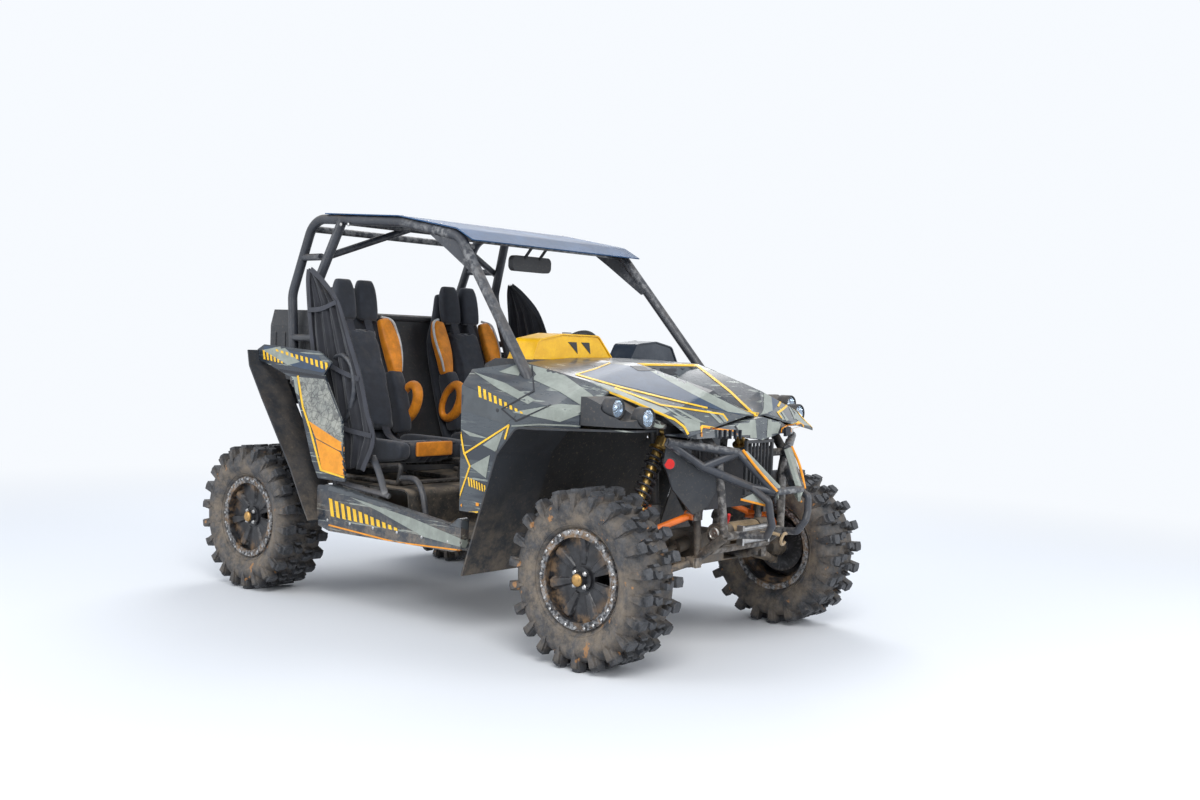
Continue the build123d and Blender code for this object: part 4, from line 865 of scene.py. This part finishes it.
# Lamps: a turned bezel, a bright bowl, a projector ball and a clear front
LAMPS = ((-0.622, -1.086, 1.006), (-0.548, -1.178, 0.972))
BEZEL = ((0.0, 0.0), (0.042, 0.0), (0.0425, 0.050), (0.040, 0.0535), (0.036, 0.0535), (0.034, 0.046),
         (0.024, 0.014), (0.0, 0.012))
BOWL = ((0.0, 0.0125), (0.022, 0.0145), (0.0335, 0.044), (0.0345, 0.044), (0.026, 0.0135), (0.0, 0.0118))
BALL = [(0.0175 * sin(a), 0.030 - 0.0145 * cos(a)) for a in (pi * k / 12 for k in range(13))]
LAMP_FRONT = ((0.0, 0.0490), (0.034, 0.0475), (0.0345, 0.049), (0.030, 0.0515), (0.016, 0.0535),
              (0.0, 0.0540))
for name, material, profile, sides in (
    ("lamp_bezels", grained, BEZEL, 40),
    ("lamp_bowls", chrome, BOWL, 40),
    ("lamp_balls", chrome, BALL, 28),
    ("lamp_fronts", lens, LAMP_FRONT, 40),
):
    solid = Solid()
    for x, y, z in LAMPS:
        for sign in (1, -1):
            solid.lathe(profile, (x * sign, y + 0.019, z), (0, -1, 0), sides)
    made = solid.make(name, material, "lens", True)
    if name == "lamp_bezels":
        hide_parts("lamps")
TAIL_X, TAIL_Z = 0.440, 0.950
tails, tail_ribs = Solid(), Solid()
for sign in (1, -1):
    tails.box((sign * TAIL_X, 1.2506, TAIL_Z), (0.130, 0.0235, 0.060))
    for k in range(6):
        tail_ribs.box((sign * TAIL_X - 0.05 + 0.02 * k, 1.2622, TAIL_Z), (0.006, 0.003, 0.05))
bevelled(tails.make("tail_lamps", red_lens, "lens"), 0.006, 3)
tail_ribs.make("tail_lamp_ribs", red_lens, "lens")


# Printed film on the shell, laid on from the photograph's side and mirrored to the other
def photo_ray(px, py):
    way = ahead * FOCAL_PX + right_way * (px - PHOTO_WIDTH / 2) + up_way * (PHOTO_HEIGHT / 2 - py)
    return way.normalized()


def tree_of(*names):
    gathered = Solid()
    for name in names:
        mesh = nodes[name].data
        gathered.add([v.co for v in mesh.vertices], [tuple(f.vertices) for f in mesh.polygons])
    return BVHTree.FromPolygons(gathered.points, gathered.faces)


FILM_EDGE = 4.48  # longest edge of a film's triangles, in pixels
FILM_WALL = 0.0009
NEAR_SIDE_X = 0.35  # hits further left than this are on the far side
TORN = 0.11  # an edge this long spans a step between panels


def film(name, outlines, tree, material, lift, slot="body"):
    """Lays thin printed shapes on the panels of a tree; outlines are in the photograph's pixels."""
    flat = bmesh.new()
    for outline in outlines:
        flat.faces.new([flat.verts.new((x, y, 0)) for x, y in outline])
    bmesh.ops.triangulate(flat, faces=flat.faces)
    for _ in range(8):
        long = [e for e in flat.edges if e.calc_length() > FILM_EDGE]
        if not long:
            break
        bmesh.ops.subdivide_edges(flat, edges=long, cuts=1)
        bmesh.ops.triangulate(flat, faces=flat.faces)
    missed = []
    for v in flat.verts:
        way = photo_ray(v.co.x, v.co.y)
        hit, normal, _, _ = tree.ray_cast(EYE, way)
        if hit is None or hit.x > NEAR_SIDE_X:
            missed.append(v)
            continue
        if normal.dot(way) > 0:
            normal = -normal
        v.co = hit + normal * lift * 0.6 - way * lift * 0.5
    bmesh.ops.delete(flat, geom=missed, context="VERTS")
    torn = [f for f in flat.faces if max(e.calc_length() for e in f.edges) > TORN]
    bmesh.ops.delete(flat, geom=torn, context="FACES")
    turned = [f for f in flat.faces if f.normal.dot(f.calc_center_median() - EYE) > 0]
    bmesh.ops.reverse_faces(flat, faces=turned)
    flat.verts.index_update()
    points, faces = mirror([v.co.copy() for v in flat.verts],
                           [tuple(v.index for v in f.verts) for f in flat.faces])
    flat.free()
    made = add_mesh(name, points, faces, material)
    wall = made.modifiers.new("wall", "SOLIDIFY")
    wall.thickness = FILM_WALL
    wall.offset = -1


def band(points, width):
    """Outlines of a line of that width in pixels, one per run."""
    runs = []
    for (x0, y0), (x1, y1) in zip(points, points[1:]):
        d = vec(x1 - x0, y1 - y0, 0).normalized() * (width / 2)
        x0, y0, x1, y1 = x0 - d.x * 0.4, y0 - d.y * 0.4, x1 + d.x * 0.4, y1 + d.y * 0.4
        runs.append([(x0 - d.y, y0 + d.x), (x0 + d.y, y0 - d.x), (x1 + d.y, y1 - d.x), (x1 - d.y, y1 + d.x)])
    return runs


def bars(start, end, count, tall, low, lean=0.0, fill=0.5):
    """A row of bars from start to end whose height goes from tall to low."""
    outlines = []
    w = abs(end[0] - start[0]) / (count - 1) * fill
    drop = w * 0.35
    for t in (k / (count - 1) for k in range(count)):
        x, y = (a + (b - a) * t for a, b in zip(start, end))
        h = tall + (low - tall) * t
        outlines.append([(x, y), (x + w, y + drop), (x + w + lean * h, y + h + drop), (x + lean * h, y + h)])
    return outlines


hood, fender, nose = tree_of("hood"), tree_of("front_fenders"), tree_of("nose_panel")
quarter, rocker, pod = tree_of("rear_quarters"), tree_of("rocker_panels"), tree_of("headlamp_pods")
front = tree_of("hood", "front_fenders", "nose_panel")
arch = tree_of("front_fenders", "wheel_arches")

# Hood: slate panel, pale shards, striped corner, yellow outlines and two dark vents
film("hood_slate", [[(612, 364), (649, 368), (700, 395), (741, 415), (706, 407), (640, 390), (578, 375)]],
     hood, blue_film, 0.0014)
film("hood_pale", [
    [(650, 371), (668, 371), (700, 389), (752, 415), (728, 412), (690, 393)],
    [(590, 383), (604, 384), (640, 399), (670, 411), (664, 414), (632, 400)],
    [(672, 415), (700, 421), (700, 430), (688, 432), (684, 424)],
], hood, pale_film, 0.0018)
film("hood_stripes", [
    [(706, 410), (711, 411), (725, 424), (719, 423)], [(716, 412), (721, 413), (732, 427), (727, 425)],
    [(664, 407), (668, 408), (690, 421), (684, 420)], [(673, 408), (680, 410), (705, 423), (697, 422)],
    [(640, 396), (648, 398), (668, 408), (660, 405)],
], hood, pale_film, 0.0022)
film("hood_lines",
     band([(558, 380), (576, 379), (602, 389), (629, 400), (675, 420), (684, 427), (688, 434)], 2.0)
     + band([(576, 374.5), (595, 369), (610, 363)], 1.2)
     + band([(576, 374.5), (620, 387), (660, 397), (707, 408)], 1.6)
     + band([(615, 388), (661, 405), (723, 414.5), (735, 431), (702, 426), (701, 438)], 1.6),
     hood, yellow_film, 0.0026)
film("hood_lip", band([(649, 364.5), (697, 365.5), (730, 391.5), (755, 415.5)], 2.2),
     hood, yellow_film, 0.0026)
film("hood_vents", [[(630, 366), (648, 366.5), (655, 371), (638, 371)],
                    [(652, 368), (668, 368.5), (678, 375), (662, 374)]], hood, dark_film, 0.0026)

# Front fender: shards, seams, bars, the outlined corner and the arch's lip
film("fender_pale", [
    [(499, 372), (520, 363), (560, 372), (592, 395), (605, 412), (590, 411), (560, 392), (530, 378)],
    [(474, 372), (505, 383), (535, 400), (528, 404), (497, 388)],
    [(512, 412), (560, 422), (600, 407), (560, 404)],
], fender, pale_film, 0.0018)
film("fender_grey", [[(460, 384), (498, 400), (516, 416), (505, 424), (458, 408)]], fender, mid_film, 0.0014)
film("fender_seams", band([(532, 366), (534, 391), (502, 409), (516, 421), (551, 405)], 1.5),
     fender, dark_film, 0.0026)
film("fender_bars", bars((478, 386), (520, 411), 9, 11, 2, 0.1), fender, yellow_film, 0.0024)
film("corner_lines", band([(457, 411), (464, 452), (470, 466), (454, 513), (478, 512)], 1.5)
     + band([(464, 454), (509, 425), (505, 439)], 1.7), fender, yellow_film, 0.0026)
film("corner_pale", [[(483, 445), (504, 430), (496, 452)], [(461, 429), (490, 439), (470, 436)],
                     [(470, 466), (490, 455), (486, 478)]], fender, pale_film, 0.0018)
film("corner_bars", bars((468, 477), (484, 485), 7, 9, 7, 0.1), fender, yellow_film, 0.0024)
film("corner_squares", [[(459, 503), (462, 503.5), (462, 507), (459, 507)],
                        [(476, 502.5), (479, 503), (479, 506), (476, 506)]], fender, orange_film, 0.0028)
film("arch_lip", band([(512, 426), (540, 424.5), (569, 425.5), (604, 428), (634, 433)], 1.5),
     arch, pale_film, 0.0024)

# Rear quarter: marble field, yellow outline, orange wedge and bars
film("quarter_marble", [[(299, 377), (332, 380), (347, 420), (347, 446), (338, 449), (309, 421), (303, 402)]],
     quarter, marble, 0.0016)
film("quarter_pale", [[(273, 374), (297, 377), (300, 402), (285, 388)],
                      [(262, 350), (283, 346), (300, 362), (288, 365)]], quarter, pale_film, 0.0016)
film("quarter_slate", [[(262, 345), (318, 356), (330, 374), (300, 368), (268, 358)]],
     quarter, blue_film, 0.0012)
film("quarter_lines", band([(298, 376), (303, 407), (310, 428), (321, 470), (352, 480)], 1.8)
     + band([(333, 381), (347, 419)], 1.6), quarter, yellow_film, 0.0026)
film("quarter_wedge", [[(309, 421), (350, 448), (350, 453), (338, 450), (316, 438)],
                       [(316, 439), (340, 452), (352, 478), (322, 470)]], quarter, orange_film, 0.0022)
film("quarter_seam", band([(270, 369), (347, 381)], 2.6), quarter, dark_film, 0.0024)
film("quarter_bars", bars((276, 349), (325, 362), 11, 2, 8, 0.12)
     + bars((263, 350), (281, 361), 6, 9, 2, 0.1), quarter, yellow_film, 0.0026)

# Rocker: pale shard, orange lower line and bars
film("rocker_pale", [[(350, 497), (412, 518), (471, 543), (468, 549), (424, 537), (380, 512)]],
     rocker, pale_film, 0.0016)
film("rocker_grey", [[(330, 480), (420, 505), (468, 522), (468, 530), (400, 510), (328, 490)]],
     rocker, mid_film, 0.0014)
film("rocker_line", band([(329, 525), (395, 542), (466, 551)], 1.5), rocker, orange_film, 0.0024)
film("rocker_bars", bars((329, 498), (394, 527), 12, 18, 3, 0.12, 0.55), rocker, yellow_film, 0.0024)

# Nose and pods: pale facets, the nose's outline and the grille's frame
film("nose_pale", [[(730, 418), (755, 417), (757, 441), (744, 441)]], nose, pale_film, 0.0016)
film("nose_outline", band([(730, 417), (744, 441), (757, 441)], 1.4), nose, dark_film, 0.0024)
film("grille_frame", band([(702, 440), (701, 427), (735, 431), (741, 447)], 1.6), front, orange_film, 0.0026)
film("pod_panel", [[(647, 418), (669, 424), (661, 436), (647, 434)]], pod, pale_film, 0.0016)

# Nose: a row of slots on each side
slots = Solid()
for k in range(5):
    slots.box((-0.255 + 0.022 * k, -1.343 - 0.009 * k, 0.912), (0.006, 0.012, 0.036))
slots.make("nose_slots", dark_film, "body", mirrored=True)

# Bumper: inner plates with reflectors and pale blades with an orange edge
plates, blades, edges, reflectors, bezels = Solid(), Solid(), Solid(), Solid(), Solid()
brow, chin, tip = vec(-0.182, -1.385, 0.840), vec(-0.150, -1.432, 0.703), vec(-0.098, -1.510, 0.690)
plate = [vec(-0.443, -1.223, 0.865), vec(-0.296, -1.288, 0.780), vec(-0.215, -1.352, 0.735),
         vec(-0.245, -1.290, 0.615), vec(-0.305, -1.262, 0.585), vec(-0.395, -1.222, 0.690),
         vec(-0.440, -1.210, 0.800)]
plates.slab(plate, vec(0.0042, 0.0091, 0))
blade = [brow + vec(0.0, -0.020, 0.012), brow + vec(0.034, -0.020, 0.006), tip + vec(0.030, -0.006, 0.022),
         tip + vec(0.012, -0.010, -0.030), tip + vec(-0.006, -0.014, 0.004)]
blades.slab(blade, vec(0.008, 0.012, -0.006))
middle = (blade[0] + blade[4]) / 2 + vec(-0.012, 0, 0.004)
edges.tube(curve_points([blade[0], middle, blade[4]], 8), 0.0055, 8)
wedge = [chin + vec(-0.055, 0.012, -0.045), chin + vec(0.0, -0.018, -0.018), tip + vec(-0.02, 0.01, -0.03),
         tip + vec(-0.03, 0.015, -0.055)]
blades.slab(wedge, vec(0.010, 0.010, -0.002))
edges.tube([wedge[0], wedge[3]], 0.0045, 8)
spot, spot_way = vec(-0.418, -1.223, 0.792), vec(-0.88, -0.47, 0.0)
bezels.lathe(((0.026, -0.004), (0.026, 0.006), (0.0215, 0.008)), spot, spot_way, 36)
reflectors.lathe(((0.0215, 0.0), (0.0215, 0.0065), (0.0195, 0.009), (0.010, 0.010), (0.0, 0.010)),
                 spot, spot_way, 36)
bevelled(plates.make("bumper_plates", arch_plastic, "bumper", mirrored=True), 0.003)
bevelled(blades.make("bumper_blades", pale_film, "body", mirrored=True), 0.002)
edges.make("bumper_edges", orange_film, "body", True, mirrored=True)
bezels.make("reflector_bezels", grained, "bumper", True, mirrored=True)
reflectors.make("reflectors", red_lens, "lens", True, mirrored=True)

# Winch: rope turns, end cap ring, fairlead, lever and hook
WINCH = vec(0, -1.285, 0.503)
DRUM_LENGTH, DRUM_RADIUS, ROPE_TURNS, TURN_STEPS = 0.196, 0.0345, 20, 24
turns, cap, guide, lever, hook = Solid(), Solid(), Solid(), Solid(), Solid()
count = ROPE_TURNS * TURN_STEPS
drum_left = WINCH - vec(DRUM_LENGTH / 2, 0, 0)
coil = ((DRUM_LENGTH * k / count, 2 * pi * k / TURN_STEPS) for k in range(count + 1))
turns.tube([drum_left + vec(x, DRUM_RADIUS * cos(a), DRUM_RADIUS * sin(a)) for x, a in coil], 0.0052, 8)
cap.lathe(((0.026, 0.0), (0.026, 0.004), (0.020, 0.007), (0.018, 0.0045), (0.008, 0.0045), (0.006, 0.009),
           (0.0, 0.009)), WINCH + vec(-0.1835, 0, 0), (-1, 0, 0), 36)
lever.tube(curve_points([WINCH + vec(-0.150, -0.030, 0.036), WINCH + vec(-0.158, -0.046, 0.058),
                         WINCH + vec(-0.172, -0.060, 0.084)], 6), 0.0065, 12)
FAIRLEAD_Y = -1.352
for z in (0.520, 0.472):
    guide.tube([(-0.085, FAIRLEAD_Y, z), (0.085, FAIRLEAD_Y, z)], 0.012, 16)
for x in (-0.094, 0.094):
    guide.box((x, FAIRLEAD_Y, 0.496), (0.012, 0.030, 0.080))
hook.tube(curve_points([(0.02, -1.330, 0.497), (0.035, -1.372, 0.497), (0.055, -1.405, 0.500),
                        (0.075, -1.432, 0.492)], 6), 0.0075, 12)
hook.tube([vec(0.082, -1.447, 0.478) + vec(0.018 * cos(a), -0.006 * sin(a), 0.024 * sin(a))
           for a in (radians(60 + 10 * k) for k in range(28))], 0.0062, 12)
turns.make("winch_rope", rope_cloth, "winch", True)
cap.make("winch_cap", alloy_cap, "winch", True)
bevelled(guide.make("fairlead", bolt_steel, "winch", True), 0.002)
lever.make("winch_lever", red_paint, "winch", True)
hook.make("tow_hook", rope_cloth, "winch", True)

# Doorway tubes and sill brackets of one side: radius, squash, points per run, points
DOOR_TUBES = (
    (0.0125, 1.0, 8, ((0.640, 0.655, 1.060), (0.655, 0.600, 1.120), (0.672, 0.500, 1.155),
                      (0.676, 0.425, 1.110), (0.676, 0.400, 1.000), (0.672, 0.440, 0.890),
                      (0.655, 0.520, 0.800), (0.643, 0.540, 0.760))),
    (0.014, 0.7, 6, ((0.690, 0.470, 0.575), (0.694, 0.330, 0.560), (0.690, 0.175, 0.548),
                     (0.680, 0.130, 0.540))),
    (0.016, 0.6, 6, ((0.640, 0.300, 0.700), (0.662, 0.230, 0.640), (0.688, 0.150, 0.545))),
    (0.014, 1.0, 8, ((0.560, 0.190, 0.610), (0.575, 0.080, 0.612), (0.585, 0.020, 0.560),
                     (0.590, -0.010, 0.470), (0.590, -0.015, 0.402))),
)
CAGE_BOLT = ((0.0085, 0), (0.0085, 0.004), (0.006, 0.006), (0.0, 0.006))
CAGE_BOLTS = ((0.02, 1.7215), (0.07, 1.731), (-0.20, 1.585), (-0.245, 1.532), (0.655, 1.770), (0.60, 1.768))
loops, bosses = Solid(), Solid()
for sign in (-1, 1):
    for radius, squash, per_run, line in DOOR_TUBES:
        loops.tube(curve_points([(sign * x, y, z) for x, y, z in line], per_run), radius, 14, squash)
    for y, z in CAGE_BOLTS:
        bosses.lathe(CAGE_BOLT, (sign * (0.5565 if y < 0.1 else 0.5735), y, z), (sign, 0, 0), 16)
loops.make("door_tubes", black_tube, "cage", True)
bosses.make("cage_bolts", bolt_steel, "cage", True)

# Cowls: vents on top, closed fronts and slits in them
vents, fronts, slits = Solid(), Solid(), Solid()
for x0, x1, x2 in ((-0.300, -0.262, -0.240), (-0.215, -0.160, -0.150)):
    vents.slab([vec(x0, -0.545, 1.2915), vec(x1, -0.545, 1.2915), vec(x2, -0.47, 1.2915)], vec(0, 0, 0.0045))
vents.make("cowl_vents", dark_film, "cowl")
for y, outline in (
    (-0.551, ((-0.512, 1.1772), (-0.473, 1.256), (-0.330, 1.2835), (-0.092, 1.2815), (0.020, 1.1772))),
    (-0.535, ((0.158, 1.1772), (0.209, 1.252), (0.345, 1.2655), (0.467, 1.244), (0.512, 1.1772))),
):
    fronts.slab([vec(x, y, z) for x, z in outline], vec(0, 0.005, 0))
bevelled(fronts.make("cowl_fronts", cowl_shell, "cowl"), 0.0015)
for x0, x1, x2 in ((-0.290, -0.235, -0.225), (-0.205, -0.150, -0.140)):
    slits.slab([vec(x0, -0.5512, 1.255), vec(x1, -0.5512, 1.255), vec(x2, -0.5512, 1.205)], vec(0, -0.002, 0))
slits.make("cowl_slits", dark_film, "cowl")

# Dash gauge, grab bar and the steering wheel's hub
DRIVER_X = 0.345
dial, dial_way = vec(DRIVER_X, -0.405, 1.215), vec(0, 0.9, 0.35)
dials, rings, grab, hub = Solid(), Solid(), Solid(), Solid()
dials.lathe(((0.052, 0.0), (0.052, 0.010), (0.0, 0.010)), dial, dial_way, 40)
rings.lathe(((0.058, -0.02), (0.058, 0.012), (0.053, 0.014), (0.052, 0.010)), dial, dial_way, 40)
rings.box((DRIVER_X, -0.425, 1.192), (0.13, 0.05, 0.034))
dials.make("gauge_faces", dark_film, "dash", True)
rings.make("gauge_rings", grained, "dash", True)
grab.tube(curve_points([(-0.46, -0.352, 1.13), (-0.46, -0.305, 1.122), (-0.33, -0.292, 1.118),
                        (-0.20, -0.305, 1.122), (-0.20, -0.352, 1.13)], 8), 0.012, 14)
grab.make("grab_bar", soft_black, "dash", True)
COLUMN_LEAN = radians(27)
hub.lathe(((0.036, -0.012), (0.040, 0.004), (0.034, 0.014), (0.016, 0.018), (0.0, 0.018)),
          vec(DRIVER_X, -0.020, 1.154), vec(0, cos(COLUMN_LEAN), sin(COLUMN_LEAN)), 32)
hub.make("wheel_hub", grained, "grip", True, "steering_wheel")

# Cargo lid: ribs and latches
ribs, latches = Solid(), Solid()
for x in (-0.36, -0.12, 0.12, 0.36):
    low, high = ([vec(x + i * half, y, z) for i, y in ((-1, y0), (1, y0), (1, y1), (-1, y1))]
                 for half, y0, y1, z in ((0.035, 0.985, 1.245, 1.3600), (0.026, 0.995, 1.235, 1.3652)))
    ribs.prism(low, high)
for x in (-0.34, 0.34):
    latches.box((x, 1.302, 1.300), (0.05, 0.012, 0.026))
bevelled(ribs.make("lid_ribs", grained, "cargo", body="cargo_lid"), 0.0015)
bevelled(latches.make("lid_latches", soft_black, "cargo", body="cargo_lid"), 0.003)

# Cargo box: ribs pressed out of its sides and rear, narrower on top than at the wall
pressed = Solid()
for sign in (-1, 1):
    for y in (1.00, 1.08, 1.16, 1.24):
        flat = [(y - 0.016, 1.05), (y + 0.016, 1.05), (y + 0.016, 1.255), (y - 0.016, 1.255)]
        top = [(1.12 + (v - 1.12) * 0.96, 1.15 + (z - 1.15) * 0.93) for v, z in flat]
        pressed.prism([vec(sign * 0.5150, v, z) for v, z in flat], [vec(sign * 0.5188, v, z) for v, z in top])
for x in (-0.36, -0.18, 0.0, 0.18, 0.36):
    flat = [(x - 0.055, 1.04), (x + 0.055, 1.04), (x + 0.055, 1.245), (x - 0.055, 1.245)]
    top = [(x + (v - x) * 0.86, 1.14 + (z - 1.14) * 0.93) for v, z in flat]
    pressed.prism([vec(v, 1.3050, z) for v, z in flat], [vec(v, 1.3090, z) for v, z in top])
bevelled(pressed.make("cargo_ribs", grained, "cargo"), 0.0015)


def studs(name, node, places, way, material, slot, radius=0.0065):
    """Round heads set where straight lines from the places meet the named panel."""
    tree = tree_of(node)
    way = Vector(way)
    head = ((radius, -0.001), (radius, 0.0012), (radius * 0.7, 0.0026), (0.0, 0.003))
    heads = Solid()
    for place in places:
        hit, normal, _, _ = tree.ray_cast(Vector(place), way)
        if hit is not None:
            normal = normal if normal.dot(way) < 0 else -normal
            heads.lathe(head, hit, normal, 12)
    heads.make(name, material, slot, True)


# Rivets and bolts on the shell, roof and skid plate
pairs = [(sign, k) for sign in (-1, 1) for k in range(10)]
studs("roof_rivets", "roof_panel", [(sign * 0.545, 0.085 * k, 2.2) for sign, k in pairs], (0, 0, -1),
      bolt_steel, "roof")
studs("skid_bolts", "skid_plate", [(sign * 0.225, -1.05 + 0.22 * k, -0.1) for sign, k in pairs], (0, 0, 1),
      bolt_steel, "skid", 0.009)
studs("tail_bolts", "tail_panel", [(x, 1.9, 0.915) for x in (-0.30, -0.15, 0.0, 0.15, 0.30)],
      (0, -1, 0), bolt_steel, "body", 0.007)
for side, sign in SIDES.items():
    studs(f"rocker_bolts_{side}", "rocker_panels", [(sign * 1.2, -0.32 + 0.16 * k, 0.40) for k in range(6)],
          (-sign, 0, 0), bolt_steel, "body", 0.007)
    studs(f"arch_bolts_{side}", "front_fenders", [(sign * 1.2, -0.60, z) for z in (0.62, 0.80, 0.97)],
          (-sign, 0, 0), grained, "body", 0.009)
